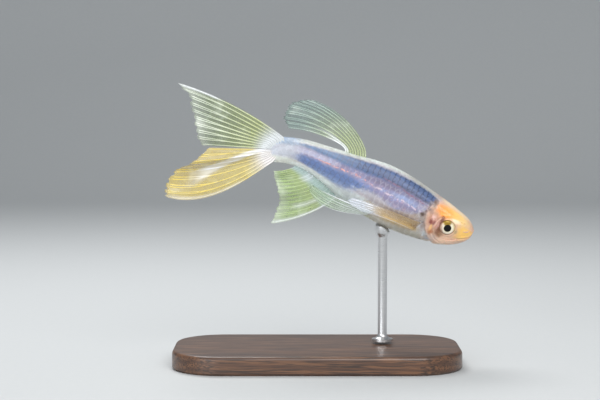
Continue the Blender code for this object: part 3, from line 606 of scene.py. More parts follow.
def make_coat_tree(finish):
    """The tree that lays the scales out on the skin's unwrap, turns each one, and bends it to the skin."""
    tree = bpy.data.node_groups.new("coat_of_scales", "GeometryNodeTree")
    inputs = (
        ("Skin", "Object", skin), ("Plate", "Object", plate), ("Rows", "Int", SCALE_ROWS),
        ("Columns", "Int", SCALE_COLUMNS), ("Lift", "Float", SCALE_LIFT * MM), ("Unevenness", "Float", 0.07),
        ("Seed", "Int", 7), ("Finish", "Material", finish),
    )
    settings = {}
    for label, kind, value in inputs:
        socket = tree.interface.new_socket(label, in_out="INPUT", socket_type="NodeSocket" + kind)
        settings[socket.identifier] = value
    tree.interface.new_socket("Geometry", in_out="OUTPUT", socket_type="NodeSocketGeometry")
    mix = Recipe(tree)
    given = tree.nodes.new("NodeGroupInput").outputs
    surface = mix.add("GeometryNodeObjectInfo", named={"Object": given["Skin"]}, out="Geometry")
    one = mix.add("GeometryNodeObjectInfo", named={"Object": given["Plate"]}, out="Geometry")
    unwrap = mix.add("GeometryNodeInputNamedAttribute", "coat", data_type="FLOAT_VECTOR")
    where = mix.add("GeometryNodeInputPosition")
    facing = mix.add("GeometryNodeInputNormal")

    def on_skin(value, spot):
        return mix.add("GeometryNodeSampleUVSurface", data_type="FLOAT_VECTOR",
            named={"Mesh": surface, "Value": value, "UV Map": unwrap, "Sample UV": spot})

    def change(operation, first, second):
        return mix.add("ShaderNodeVectorMath", first, second, operation=operation)

    def uneven(low, high, salt):
        return mix.add("FunctionNodeRandomValue", data_type="FLOAT", out=1,
            named={2: low, 3: high, "Seed": mix.sum("ADD", given["Seed"], salt)})

    index = mix.add("GeometryNodeInputIndex")
    row = mix.sum("FLOOR", mix.sum("DIVIDE", mix.sum("ADD", index, 0.5), given["Columns"]))
    column = mix.sum("SUBTRACT", index, mix.times(row, given["Columns"]))
    stagger = mix.times(mix.sum("MODULO", row, 2.0), 0.5)
    pitch = mix.sum("DIVIDE", 1.0, mix.sum("ADD", given["Columns"], 0.9))
    step = mix.sum("DIVIDE", 1.0, given["Rows"])
    along = mix.times(mix.sum("ADD", mix.sum("ADD", column, stagger), uneven(0.42, 0.48, 1.0)), pitch)
    around = mix.times(mix.sum("ADD", row, uneven(0.47, 0.53, 2.0)), step)
    root = mix.add("ShaderNodeCombineXYZ", along, around)
    count = mix.times(given["Rows"], given["Columns"])
    points = mix.add("GeometryNodePoints", count, on_skin(where, root))
    points = mix.add("GeometryNodeStoreNamedAttribute", data_type="FLOAT_VECTOR",
        named={"Geometry": points, "Name": "root", "Value": root})
    points = mix.add("GeometryNodeStoreNamedAttribute", data_type="FLOAT",
        named={"Geometry": points, "Name": "tint", "Value": uneven(0.0, 1.0, 3.0)})
    ahead = mix.add("ShaderNodeCombineXYZ", pitch)
    tailward = change("SUBTRACT", on_skin(where, root), on_skin(where, change("SUBTRACT", root, ahead)))
    half = mix.add("ShaderNodeCombineXYZ", 0.0, mix.times(step, 0.46))
    above, below = (on_skin(where, change(side, root, half)) for side in ("ADD", "SUBTRACT"))
    beside = change("SUBTRACT", above, below)
    long = mix.length(tailward)
    wide = mix.sum("DIVIDE", mix.length(beside), 0.92)
    turn = mix.add(
        "FunctionNodeAxesToRotation", on_skin(facing, root), tailward, primary_axis="Z", secondary_axis="X")
    loose = mix.sum("ADD", 1.0, uneven(mix.times(given["Unevenness"], -1.0), given["Unevenness"], 4.0))
    size = mix.add("ShaderNodeCombineXYZ", mix.times(long, loose), mix.times(wide, loose), 1.0)
    laid = mix.add("GeometryNodeInstanceOnPoints", named={
        "Points": points, "Instance": one, "Rotation": turn, "Scale": size})
    scales = mix.add("GeometryNodeRealizeInstances", laid)

    def under(value):
        return mix.add("GeometryNodeSampleNearestSurface", data_type="FLOAT_VECTOR",
            named={"Mesh": surface, "Value": value})

    def stored(label, kind="FLOAT"):
        return mix.add("GeometryNodeInputNamedAttribute", label, data_type=kind)

    marks = under(stored("markings", "FLOAT_VECTOR"))
    scales = mix.add("GeometryNodeStoreNamedAttribute", data_type="FLOAT2", domain="CORNER",
        named={"Geometry": scales, "Name": "markings", "Value": marks})
    patch = mix.add("ShaderNodeVectorMath", stored("plate", "FLOAT_VECTOR"), BAKE_PATCH,
        stored("root", "FLOAT_VECTOR"), operation="MULTIPLY_ADD")
    scales = mix.add("GeometryNodeStoreNamedAttribute", data_type="FLOAT2", domain="CORNER",
        named={"Geometry": scales, "Name": "OFBake", "Value": patch})
    rise = mix.times(stored("height"), given["Lift"])
    rise = mix.times(rise, mix.sum("MULTIPLY_ADD", stored("tint"), 0.3, 0.85))
    lifted = mix.add("ShaderNodeVectorMath", under(facing), rise, under(where), operation="MULTIPLY_ADD")
    scales = mix.add("GeometryNodeSetPosition", named={"Geometry": scales, "Position": lifted})
    scales = mix.add("GeometryNodeSetMaterial", named={"Geometry": scales, "Material": given["Finish"]})
    end = tree.nodes.new("NodeGroupOutput")
    tree.links.new(scales, end.inputs[0])
    return tree, settings


def make_scale_finish():
    """Clear horn over the markings: rings of growth, a dark rear rim in the blue, a bright one elsewhere."""
    material, mix, shader = new_finish("scale_horn", {
        "Subsurface Weight": 0.3, "Subsurface Radius": (1.0, 0.6, 0.5), "Subsurface Scale": 0.0004,
        "IOR": 1.40, "Coat Weight": 0.20, "Coat Roughness": 0.14})
    colour, blue = marked(mix)
    plate_place = mix.add("ShaderNodeUVMap", uv_map="plate")
    spread = mix.add("ShaderNodeSeparateXYZ", plate_place)
    reach = mix.length(plate_place)
    rim = mix.times(mix.fade(reach, 0.58, 0.90), mix.fade(spread, 0.05, 0.6))
    tint = mix.add("ShaderNodeAttribute", attribute_name="tint", out=2)
    dark = mix.blend(mix.times(mix.times(rim, blue), 0.9), colour, tone(36, 46, 80))
    pale = mix.times(mix.times(rim, mix.rest(blue)), 0.16)
    colour = mix.blend(pale, dark, tone(236, 236, 240))
    shade = mix.sum("MULTIPLY_ADD", tint, 0.16, 0.92)
    mix.put(shader["Base Color"], mix.add("ShaderNodeVectorMath", colour, shade, operation="MULTIPLY"))
    rings = mix.sum("SINE", mix.times(reach, 110.0))
    here = mix.add("ShaderNodeTexCoord", out=3)
    cloud = mix.noise(here, 2600.0, 3.0)
    mix.put(shader["Roughness"], mix.sum("MULTIPLY_ADD", cloud, 0.2, 0.30))
    mix.put(shader["Metallic"], mix.sum("MULTIPLY_ADD", blue, 0.08, 0.02))
    mix.put(shader["Normal"], mix.bump(0.2, 0.000008, rings))
    return material


def grown(name, tree, settings):
    """Turns a tree's result into a plain mesh of its own."""
    holder = bpy.data.objects.new(name, bpy.data.meshes.new(name))
    bpy.context.scene.collection.objects.link(holder)
    modifier = holder.modifiers.new("growth", "NODES")
    modifier.node_group = tree
    for identifier, value in settings.items():
        modifier[identifier] = value
    bpy.context.view_layer.update()
    made = bpy.data.meshes.new_from_object(holder.evaluated_get(bpy.context.evaluated_depsgraph_get()))
    holder.modifiers.clear()
    holder.data = made
    made.shade_smooth()
    made.set_sharp_from_angle(angle=math.radians(50))
    return holder


plate = make_plate()
scales = grown("scales", *make_coat_tree(make_scale_finish()))
bpy.data.objects.remove(plate, do_unlink=True)
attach(scales, "root")

# Eyes
# Each eye is a flattened ball deep in its orbit, with a low clear dome over a cream and gold iris, its top
# darkened by painted shade and its upper front lightened by a painted highlight, and a round dark pupil. Its
# face carries a disc map, so that the iris rings turn round the pupil.
EYE_DOME, EYE_DEPTH = 0.48, 0.95


def make_eye_finish():
    material, mix, shader = new_finish("iris", {
        "IOR": 1.28, "Coat Weight": 0.35, "Coat IOR": 1.25, "Coat Roughness": 0.03})
    disc = mix.add("ShaderNodeUVMap", uv_map="disc")
    part = mix.add("ShaderNodeSeparateXYZ", disc)
    up = part.node.outputs[1]
    reach = mix.length(disc)
    here = mix.add("ShaderNodeTexCoord", out=3)
    flecks = mix.noise(here, 9000.0, 4.0)
    turn = mix.sum("ARCTAN2", up, part)
    rays = mix.add("ShaderNodeTexNoise", named={
        "Vector": mix.add("ShaderNodeCombineXYZ", mix.times(turn, 7.0), mix.times(reach, 2.0)),
        "Scale": 2.2, "Detail": 3.0})
    # lean, beside and shaded place the dark top of the iris: its own olive gold, deepened as painted shade
    lean = mix.sum("MULTIPLY_ADD", part, 0.42, mix.sum("MULTIPLY_ADD", up, 0.9, -0.76))
    beside = mix.sum("MULTIPLY_ADD", part, -0.8, mix.times(up, 0.38))
    shaded = mix.length(mix.add("ShaderNodeCombineXYZ", lean, beside))
    ring = mix.rest(mix.fade(mix.sum("ABSOLUTE", mix.sum("SUBTRACT", reach, 0.54)), 0.02, 0.06))
    iris = mix.blend(mix.times(ring, 0.6), tone(240, 233, 214), tone(240, 230, 190))
    iris = mix.blend(mix.times(mix.fade(rays, 0.48, 0.7), 0.40), iris, tone(150, 128, 84))
    iris = mix.blend(mix.times(mix.fade(reach, 0.72, 0.91), 0.85), iris, tone(160, 122, 94))
    tailward = mix.sum("MULTIPLY_ADD", part, 0.9, mix.times(up, -0.42))
    iris = mix.blend(mix.times(mix.fade(tailward, 0.42, 0.82), 0.75), iris, tone(178, 142, 122))
    # painted highlight: the iris paler towards its upper front
    frontward = mix.sum("MULTIPLY_ADD", part, -0.85, mix.times(up, 0.52))
    iris = mix.blend(mix.times(mix.fade(frontward, 0.50, 0.82), 0.7), iris, tone(226, 214, 168))
    # painted shade over the olive gold of the iris's top
    iris = mix.blend(mix.rest(mix.fade(shaded, 0.32, 0.66)), iris, tone(142, 114, 42))
    pupil = mix.rest(mix.fade(reach, 0.47, 0.51))
    mix.put(shader["Base Color"], mix.blend(pupil, iris, tone(5, 6, 4)))
    mix.put(shader["Roughness"], mix.sum("MULTIPLY_ADD", flecks, 0.25, 0.12))
    mix.put(shader["Metallic"], mix.sum("MULTIPLY_ADD", pupil, -0.25, 0.25))
    mix.put(shader["Normal"], mix.bump(0.3, 0.00002, rays))
    return material


def make_eye(name, side):
    rings, sides = 28, 48
    centre, back, up, out = eye_place(side)
    points, disc = [centre + out * EYE_DOME], [(0.0, 0.0)]
    for k in range(1, rings):
        polar = math.pi * k / rings
        spread, height = math.sin(polar), math.cos(polar)
        depth = EYE_DOME if height > 0 else EYE_DEPTH
        for j in range(sides):
            turn = 2 * math.pi * j / sides
            x, y = spread * math.cos(turn), spread * math.sin(turn)
            points.append(centre + (back * x + up * y) * EYE_RADIUS + out * height * depth)
            disc.append((x, y) if height > 0 else (x / spread, y / spread))
    points.append(centre - out * EYE_DEPTH)
    disc.append((0.0, 1.0))
    last = len(points) - 1
    faces = [(0, 1 + j, 1 + (j + 1) % sides) for j in range(sides)]
    faces += ring_faces(rings - 1, sides, 1, turned=True)
    first = 1 + (rings - 2) * sides
    faces += [(last, first + (j + 1) % sides, first + j) for j in range(sides)]
    if side < 0:
        faces = [face[::-1] for face in faces]
    eye = made_mesh(name, points, faces, {"disc": [disc[v] for face in faces for v in face]})
    eye.data.materials.append(iris_finish)
    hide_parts(name.replace("globe", "eye"))
    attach(eye, "root")


iris_finish = make_eye_finish()
make_eye("globe_right", 1)
make_eye("globe_left", -1)

# Feelers
# Two pairs of soft feelers of bare skin: a short one at the snout and a longer one at the corner of the
# mouth. Each is a tapering tube with its root sunk in the lip.
FEELERS = ((0.020, 84, 1.3, 1.1), (0.054, 126, 2.4, 0.55))  # share, degrees from the back, length, spread


def make_tube(name, points, radii, sides=10):
    """A closed round tube along points in mm."""
    points = np.array(points)
    ahead = unit(np.gradient(points, axis=0))
    side = unit(np.cross(ahead, [0.3, 0.5, 0.8]))
    other = np.cross(ahead, side)
    turn = 2 * np.pi * np.arange(sides)[:, None] / sides
    spokes = side[:, None] * np.cos(turn) + other[:, None] * np.sin(turn)
    rings = points[:, None] + spokes * np.array(radii)[:, None, None]
    faces = ring_faces(len(points), sides)
    faces.append(list(range(sides))[::-1])
    faces.append([(len(points) - 1) * sides + j for j in range(sides)])
    return made_mesh(name, rings, faces)


def joined(name, parts):
    """One object out of several."""
    whole = bmesh.new()
    for part in parts:
        whole.from_mesh(part.data)
        bpy.data.objects.remove(part, do_unlink=True)
    mesh = bpy.data.meshes.new(name)
    whole.to_mesh(mesh)
    whole.free()
    mesh.shade_smooth()
    made = bpy.data.objects.new(name, mesh)
    bpy.context.scene.collection.objects.link(made)
    return made


def make_feelers():
    parts = []
    for side in (1, -1):
        for share, degrees, length, away in FEELERS:
            tail, up, right = spine_direction(share)
            root = body_point(share, side * math.radians(degrees), -0.22)
            t = np.linspace(0, 1, 20)[:, None]
            bend = unit(right * side * away * (1 - 0.6 * t) + tail * t - up * 0.35)
            parts.append(make_tube("feeler", root + bend * length * t, 0.13 - 0.09 * t[:, 0] ** 0.8))
    feelers = joined("feelers", parts)
    material, mix, shader = new_finish("feeler_skin", {
        "Subsurface Weight": 0.4, "Subsurface Scale": 0.0004, "Coat Weight": 0.4})
    here = mix.add("ShaderNodeTexCoord", out=3)
    cloud = mix.noise(here, 3000.0)
    mix.put(shader["Base Color"], mix.blend(cloud, tone(226, 188, 160), tone(204, 166, 142)))
    mix.put(shader["Roughness"], mix.sum("MULTIPLY_ADD", cloud, 0.2, 0.25))
    mix.put(shader["Normal"], mix.bump(0.3, 0.00002, cloud))
    feelers.data.materials.append(material)
    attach(feelers, "root")


make_feelers()

# Tail fin
# The tail fin is two thin lobes of clear membrane stretched over jointed rays, which fork twice on their
# way to the edge. Each lobe is one closed sheet, with raised rays on both faces and its root in the stalk.
# The rows of a shape go across a fin: share, length, lean at the root and the tip, swing at the root and the
# tip, all in mm and degrees, and the power by which the lean grows.
UPPER_TAIL = dict(
    rays=10, rows=64, side=1, root=(2.02, -0.11), lift=0.1, sunk=1.5, wave=0.10, fleshy=0.17,
    shape=(
        (0.00, 19.6, 31, 8, 0, -7, 1.0), (0.22, 16.2, 26, 13, 2, -5, 1.0), (0.50, 13.5, 15, 11, 0, -8, 1.0),
        (0.75, 11.8, 6, 5, 1, -3, 1.0), (1.00, 10.4, -4, -6, 0, -6, 1.0),
    ),
)
LOWER_TAIL = dict(
    rays=9, rows=64, side=1, root=(-0.19, -2.06), lift=0.1, sunk=1.5, wave=0.10, fleshy=0.17,
    shape=(
        (0.00, 9.1, -5, -7, 0, -6, 1.0), (0.25, 11.8, -15, -12, 6, 2, 1.0),
        (0.50, 15.2, -27, -9, -5, -12, 1.2),
        (0.75, 17.5, -38, 4, 0, -4, 1.7), (1.00, 19.2, -42, 18, 2, 2, 2.2),
    ),
)
RAY_COLUMNS = 16  # columns of the sheet for each ray
MEMBRANE, RAY_RISE, RAY_WIDTH = 0.028, 0.080, 0.115
RAY_JOINT = 0.5  # mm from one joint of a ray to the next
FIRST_FORK, SECOND_FORK = 0.15, 0.06  # how far branches part, in ray spacings


def fin_root(fin, across, mirror, lift):
    """Where rays leave the body, and the directions that they lean by there."""
    first, second = fin["root"]
    if isinstance(first, tuple):
        share = first[0] + (second[0] - first[0]) * across
        angle = np.radians(first[1] + (second[1] - first[1]) * across) * mirror
        point = body_point(share, angle, lift)
    else:
        def on_edge(at):
            above = first + (second - first) * at
            back, belly = body_size(np.array(1.0))[:2]
            angle = np.arccos(np.clip(above / np.where(above > 0, back, belly), -1, 1))
            share = edge_share(TAIL_EDGE, angle)
            return share, in_body_frame(share, above, 0 * above)

        share, point = on_edge(across)
        along = on_edge(across + 0.02)[1] - on_edge(across - 0.02)[1]
        away = unit(np.cross(along, spine_direction(share)[2]))
        away *= np.sign(np.sum(away * spine_direction(share)[0], axis=-1, keepdims=True))
        point = point + away * lift
    tail, up, right = spine_direction(share)
    return point, tail, up * fin["side"], right * mirror


def fin_sheet(name, fin, finish, mirror=1, seed=1):
    """A closed sheet with forking rays, as long and as bent as the solid that it stands for."""
    rays, rows = fin["rays"], fin["rows"]
    across = np.linspace(0, 1, rays * RAY_COLUMNS + 1)
    place = across * (rays - 0.5) - 0.25
    ray = np.clip(np.round(place), 0, rays - 1).astype(int)
    beside = place - ray
    length, lean_0, lean_1, swing_0, swing_1, power = [
        column[:, None] for column in curve_through(fin["shape"])(across).T
    ]
    steps = rows * 4
    v = (np.arange(steps) + 0.5)[None] / steps
    root, tail, lean_to, swing_to = fin_root(fin, across, mirror, fin["lift"])
    standing = np.exp(-v / 0.055)
    lean = lean_0 + (lean_1 - lean_0) * v**power
    lean = np.radians(lean + (fin.get("stands", lean) - lean) * standing)[..., None]
    swing = swing_0 + (swing_1 - swing_0) * v
    swing = np.radians(swing + (fin.get("flares", swing) - swing) * standing)[..., None]
    flat = tail[:, None] * np.cos(lean) + lean_to[:, None] * np.sin(lean)
    ahead = flat * np.cos(swing) + swing_to[:, None] * np.sin(swing)
    strides = np.cumsum(ahead * (length / steps)[..., None], axis=1)
    path = root[:, None] + np.concatenate([0 * root[:, None], strides], axis=1)

    # The edge: rays reach a little past the membrane between them, and each is worn by its own amount.
    chance = np.random.default_rng(seed)
    worn = np.interp(place, np.arange(-1, rays + 1), chance.uniform(0.0, 0.03, rays + 2))
    fine = np.interp(across, np.linspace(0, 1, rays * 4 + 1), chance.uniform(0, 0.010, rays * 4 + 1))
    forked = (ray > 0) & (ray < rays - 1)
    tips = np.abs(np.abs(np.abs(beside) - FIRST_FORK * forked) - SECOND_FORK * forked)
    reach = 1.01 - worn - fine - 0.025 * np.clip(tips / 0.12, 0, 1)
    end = np.linspace(0, 1, rows + 1)[None] * np.where(forked, reach, np.maximum(reach, 0.965))[:, None]
    whole = np.minimum((end * steps).astype(int), steps - 1)
    part = (end * steps - whole)[..., None]
    column = np.arange(len(across))[:, None]
    middle = path[column, whole] * (1 - part) + path[column, whole + 1] * part

    room = np.linalg.norm(np.gradient(middle, axis=0), axis=-1) * RAY_COLUMNS
    forks = forked[:, None]
    first = FIRST_FORK * smooth(0.48, 0.85, end) * forks
    second = SECOND_FORK * smooth(0.80, 1.0, end) * forks
    off = np.abs(np.abs(np.abs(beside)[:, None] - first) - second) * room
    width = np.minimum(RAY_WIDTH * (1 - 0.55 * end), room * 0.2) + 0.01
    raised = np.exp(-((off / width) ** 2)) * (1 - smooth(0.95, 1.0, np.linspace(0, 1, rows + 1)))[None]
    normal = unit(np.cross(np.gradient(middle, axis=1), np.gradient(middle, axis=0)))
    for _ in range(6):
        padded = np.concatenate([normal[:1], normal, normal[-1:]])
        normal = unit(padded[:-2] + 2 * normal + padded[2:])
    sway = fin["wave"] * end**1.4 * np.sin(2 * np.pi * (across[:, None] * 2.3 + 0.35 * end + 0.13 * seed))
    pleat = fin.get("pleat", 0.03) * (1 - end) * np.cos(2 * np.pi * beside)[:, None] * smooth(0, 0.1, end)
    middle = middle + normal * (sway + pleat)[..., None]
    fleshy = fin.get("fleshy", 0.06) * np.exp(-end / 0.05)
    thick = MEMBRANE * (1 - 0.4 * end) + RAY_RISE * (1 - 0.6 * end) * raised + fleshy
    thick[0] = thick[-1] = 0.012

    # Three more rows carry the root down into the body.
    depths = np.linspace(-1, 0, 5)[1:-1] * fin["sunk"]
    deep = np.stack([fin_root(fin, across, mirror, fin["lift"] + depth)[0] for depth in depths], 1)
    middle = np.concatenate([deep, middle], axis=1)
    thick, raised, normal = (
        np.concatenate([np.repeat(grid[:, :1], len(depths), axis=1), grid], axis=1)
        for grid in (thick, raised, normal)
    )
    v_row = np.concatenate([np.zeros((len(across), len(depths))), end], axis=1)
    columns, count = middle.shape[:2]
    points = np.concatenate([middle + normal * thick[..., None], (middle - normal * thick[..., None])[::-1]])
    around = 2 * columns
    i, j = np.meshgrid(np.arange(around), np.arange(count - 1), indexing="ij")
    here, beside_it = i * count + j, (i + 1) % around * count + j
    faces = np.stack([here, beside_it, beside_it + 1, here + 1], -1).reshape(-1, 4)
    k = np.arange(columns - 1)
    facing = around - 1 - k
    for row, order in ((0, 1), (count - 1, -1)):
        rung = np.stack([k, facing, facing - 1, k + 1], -1)[:, ::order] * count + row
        faces = np.vstack([faces, rung])
    place_uv = np.stack([np.repeat(across[:, None], count, 1), v_row], -1)
    place_uv = np.concatenate([place_uv, place_uv[::-1]]).reshape(-1, 2)
    mesh_points = points.reshape(-1, 3)
    corner = mesh_points[faces]
    volume = sum(
        np.einsum("ij,ij->", corner[:, 0], np.cross(corner[:, k], corner[:, k + 1])) for k in (1, 2)
    )
    if volume < 0:
        faces = faces[:, ::-1]
    sheet = made_mesh(name, mesh_points, faces.tolist(), {"fin": place_uv[faces.ravel()]})
    ray_value = np.concatenate([raised, raised[::-1]]).ravel()
    sheet.data.attributes.new("ray", "FLOAT", "POINT").data.foreach_set("value", ray_value.astype(np.float32))
    sheet.data.materials.append(finish)
    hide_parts(name.replace("_web", ""))
    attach(sheet, "root")


def fin_finish(
        name, web, bone, clear, length, streaks=(), tips=0.0,
        root_tone=None, root_ends=(0.03, 0.24), root_cover=0.9, ray_cover=0.8):
    """Clear membrane and jointed rays. Web and bone are colours at the root and the tip, clear is the
    membrane's cover there. A streak runs from u - width to u + width between two heights, with a strength
    and the drift of its u towards the tip. It is white unless three more numbers give its colour."""
    material, mix, shader = new_finish(name, {
        "Subsurface Weight": 0.2, "Subsurface Radius": (1.0, 1.0, 1.0), "Subsurface Scale": 0.0003,
        "Coat Weight": 0.3, "Coat Roughness": 0.15})
    spot = mix.add("ShaderNodeSeparateXYZ", mix.add("ShaderNodeUVMap", uv_map="fin"))
    up = spot.node.outputs[1]
    ray = mix.add("ShaderNodeAttribute", attribute_name="ray", out=2)
    here = mix.add("ShaderNodeTexCoord", out=3)
    cloud = mix.noise(here, 700.0, 4.0)
    grain = mix.noise(here, 5200.0, 3.0)
    membrane = mix.blend(mix.fade(up, 0.05, 0.85), tone(*web[0]), tone(*web[1]))
    strand = mix.blend(mix.fade(up, 0.05, 0.85), tone(*bone[0]), tone(*bone[1]))
    joint = mix.sum("FRACT", mix.times(up, length / RAY_JOINT))
    jointed = mix.rest(mix.fade(mix.sum("ABSOLUTE", mix.sum("SUBTRACT", joint, 0.5)), 0.05, 0.16))
    strand = mix.blend(mix.times(jointed, 0.18), strand, tone(*web[1]))
    cover = mix.sum("MULTIPLY_ADD", mix.fade(up, 0.1, 0.9), clear[1] - clear[0], clear[0])
    cover = mix.times(cover, mix.sum("MULTIPLY_ADD", cloud, 0.7, 0.65))
    strong = mix.fade(ray, 0.12, 0.85)
    colour = mix.blend(strong, membrane, strand)
    milky = mix.times(mix.fade(mix.noise(here, 480.0, 2.0), 0.5, 0.8), 0.3)
    colour = mix.blend(milky, colour, tone(228, 234, 224))
    cover = mix.sum("MULTIPLY_ADD", milky, 0.5, cover)
    if root_tone:
        low = mix.rest(mix.fade(up, *root_ends))
        colour = mix.blend(mix.times(low, 0.9), colour, tone(*root_tone))
        cover = mix.sum("MAXIMUM", cover, mix.times(low, root_cover))
    for at, width, low, high, strength, drift, *ink in streaks:
        off = mix.sum("SUBTRACT", spot, mix.sum("MULTIPLY_ADD", up, drift, at))
        band = mix.rest(mix.fade(mix.sum("ABSOLUTE", off), width * 0.4, width))
        ends = mix.fade(up, low - 0.05, low + 0.05), mix.rest(mix.fade(up, high - 0.12, high + 0.12))
        painted = mix.times(band, mix.times(*ends))
        painted = mix.times(painted, mix.sum("MULTIPLY_ADD", ray, 0.4 * strength, 0.6 * strength))
        colour = mix.blend(painted, colour, tone(*(ink or (240, 243, 250))))
        cover = mix.sum("MAXIMUM", cover, painted)
    if tips:
        tip = mix.times(mix.fade(up, 0.72, 0.98), tips)
        colour = mix.blend(tip, colour, tone(236, 240, 240))
    mix.put(shader["Base Color"], colour)
    mix.put(shader["Alpha"], mix.sum("MAXIMUM", cover, mix.times(strong, ray_cover)))
    mix.put(shader["Roughness"], mix.sum("MULTIPLY_ADD", grain, 0.25, 0.2))
    mix.put(shader["Normal"], mix.bump(0.3, 0.00002, grain))
    return material


fin_sheet("tail_fin_upper_web", UPPER_TAIL, fin_finish(
    "upper_tail_membrane", clear=(0.48, 0.40), length=14.0, tips=0.3, root_tone=(214, 218, 224),
    web=((140, 152, 84), (104, 120, 74)), bone=((200, 206, 152), (214, 222, 200)),
    streaks=((0.02, 0.05, 0.62, 1.0, 0.9, 0.0),),
), seed=1)
fin_sheet("tail_fin_lower_web", LOWER_TAIL, fin_finish(
    "lower_tail_membrane", clear=(0.38, 0.32), length=15.0, root_tone=(224, 222, 226),
    web=((212, 194, 104), (210, 184, 74)), bone=((228, 212, 138), (224, 202, 104)),
    streaks=((0.02, 0.17, 0.0, 0.74, 1.0, 0.78), (0.97, 0.05, 0.3, 1.0, 0.5, 0.0)),
), seed=2)

# Dorsal fin
# The dorsal fin stands far back on the ridge of the back: a tall clear sail on nine rays, with a bright
# bundle at the foot of its last rays.
DORSAL = dict(
    rays=9, rows=60, side=1, root=((0.572, 0), (0.668, 0)), lift=-0.1, sunk=0.8, wave=0.12, stands=82,
    shape=(
        (0.00, 13.9, 49, -8, 0, 5, 1.0), (0.25, 14.5, 43, -11, -1, 7, 1.0), (0.50, 14.4, 35, -16, -2, 8, 1.0),
        (0.80, 12.5, 19, -22, -3, 3, 1.0), (1.00, 10.3, 9, -22, 0, -4, 1.0),
    ),
)
fin_sheet("dorsal_fin_web", DORSAL, fin_finish(
    "dorsal_membrane", clear=(0.34, 0.34), length=13.0,
    web=((156, 168, 112), (104, 130, 122)), bone=((190, 200, 156), (170, 188, 180)),
    streaks=((0.93, 0.14, 0.0, 0.34, 1.0, 0.0), (0.80, 0.05, 0.25, 0.5, 0.6, 0.0)),
), seed=3)

# Anal fin
# The anal fin runs under the whole stalk, long in front and short behind, and trails in soft folds.
ANAL = dict(
    rays=15, rows=48, side=-1, root=((0.612, 180), (0.852, 180)), lift=-0.1, sunk=0.8, wave=0.18, stands=86,
    shape=(
        (0.00, 12.2, 63, 30, 0, 6, 1.0), (0.20, 8.9, 60, 24, 2, -2, 1.0), (0.45, 7.1, 56, 20, 0, 8, 1.0),
        (0.75, 5.4, 50, 18, -2, -2, 1.0), (1.00, 3.8, 42, 14, 0, 5, 1.0),
    ),
)
fin_sheet("anal_fin_web", ANAL, fin_finish(
    "anal_membrane", clear=(0.46, 0.40), length=8.0, tips=0.3,
    web=((168, 186, 112), (146, 172, 100)), bone=((188, 204, 146), (172, 194, 130)),
    streaks=(
        (0.0, 0.05, 0.0, 1.0, 0.8, 0.0), (0.16, 0.05, 0.2, 0.7, 0.5, 0.0), (0.6, 0.10, 0.0, 0.3, 0.5, 0.0),
    ),
    root_tone=(178, 200, 202), root_ends=(0.12, 0.36), root_cover=0.45, ray_cover=0.62,
), seed=4)

# Pectoral fins
# The pectoral fins fold back along the belly from behind the gill covers: golden at the fleshy root and
# streaked with white along their rays.
PECTORAL = dict(
    rays=10, rows=56, side=-1, root=((0.229, 109), (0.245, 130)), lift=-0.1, sunk=0.6,
    wave=0.06, pleat=0.06, flares=66,
    shape=(
        (0.00, 12.4, -2, 9, 13, 3, 1.5), (0.40, 12.2, -3, 10, 15, 6, 1.5),
        (0.75, 11.2, -4, 10, 18, 9, 1.5), (1.00, 9.6, -5, 10, 21, 12, 1.5),
    ),
)
pectoral_finish = fin_finish(
    "pectoral_membrane", clear=(0.22, 0.14), length=11.0,
    web=((206, 180, 138), (210, 220, 242)), bone=((222, 192, 144), (240, 243, 252)),
    streaks=(
        (0.12, 0.36, -0.1, 0.50, 0.6, 0.0, 146, 134, 108), (0.96, 0.40, -0.1, 0.56, 0.7, 0.0, 236, 206, 150),
        (0.131, 0.045, 0.66, 0.95, 1.0, 0.0), (0.342, 0.05, 0.63, 0.98, 1.0, 0.0),
        (0.553, 0.045, 0.66, 0.92, 0.95, 0.0), (0.763, 0.03, 0.68, 0.84, 0.8, 0.0),
        (0.97, 0.05, 0.12, 0.7, 0.55, 0.0),
    ),
    root_tone=(208, 178, 128), root_ends=(0.46, 0.72), root_cover=0.25, ray_cover=0.35,
)
for label, mirror, seed in (("right", 1, 5), ("left", -1, 6)):
    fin_sheet(f"pectoral_fin_{label}_web", PECTORAL, pectoral_finish, mirror, seed)

# Pelvic fins
# The pelvic fins trail from mid belly in long narrow ribbons, bluish white with greenish ends.
PELVIC = dict(
    rays=7, rows=60, side=-1, root=((0.437, 130), (0.462, 151)), lift=-0.1, sunk=0.6,
    wave=0.10, pleat=0.06, flares=66,
    shape=(
        (0.00, 11.3, 3, -5, 14, 8, 1.0), (0.40, 11.4, 10, -20, 11, 6, 1.5),
        (1.00, 10.4, 19, -38, 5, 4, 2.4),
    ),
)
pelvic_finish = fin_finish(
    "pelvic_membrane", clear=(0.34, 0.28), length=11.0, ray_cover=0.6,
    web=((198, 212, 196), (160, 190, 150)), bone=((232, 238, 240), (212, 226, 200)),
    streaks=(
        (0.04, 0.12, 0.10, 0.85, 0.9, 0.0), (0.33, 0.05, 0.15, 0.6, 0.5, 0.0),
        (0.97, 0.05, 0.1, 0.9, 0.5, 0.0),
    ),
)
for label, mirror, seed in (("right", 1, 7), ("left", -1, 8)):
    fin_sheet(f"pelvic_fin_{label}_web", PELVIC, pelvic_finish, mirror, seed)

# Stand
# The display stand is a small walnut base with rounded corners and a soft edge under satin varnish, and
# one turned steel rod with a foot and a pad that cups the belly.
ROD_SHARE, ROD_SIDES = 0.372, 64


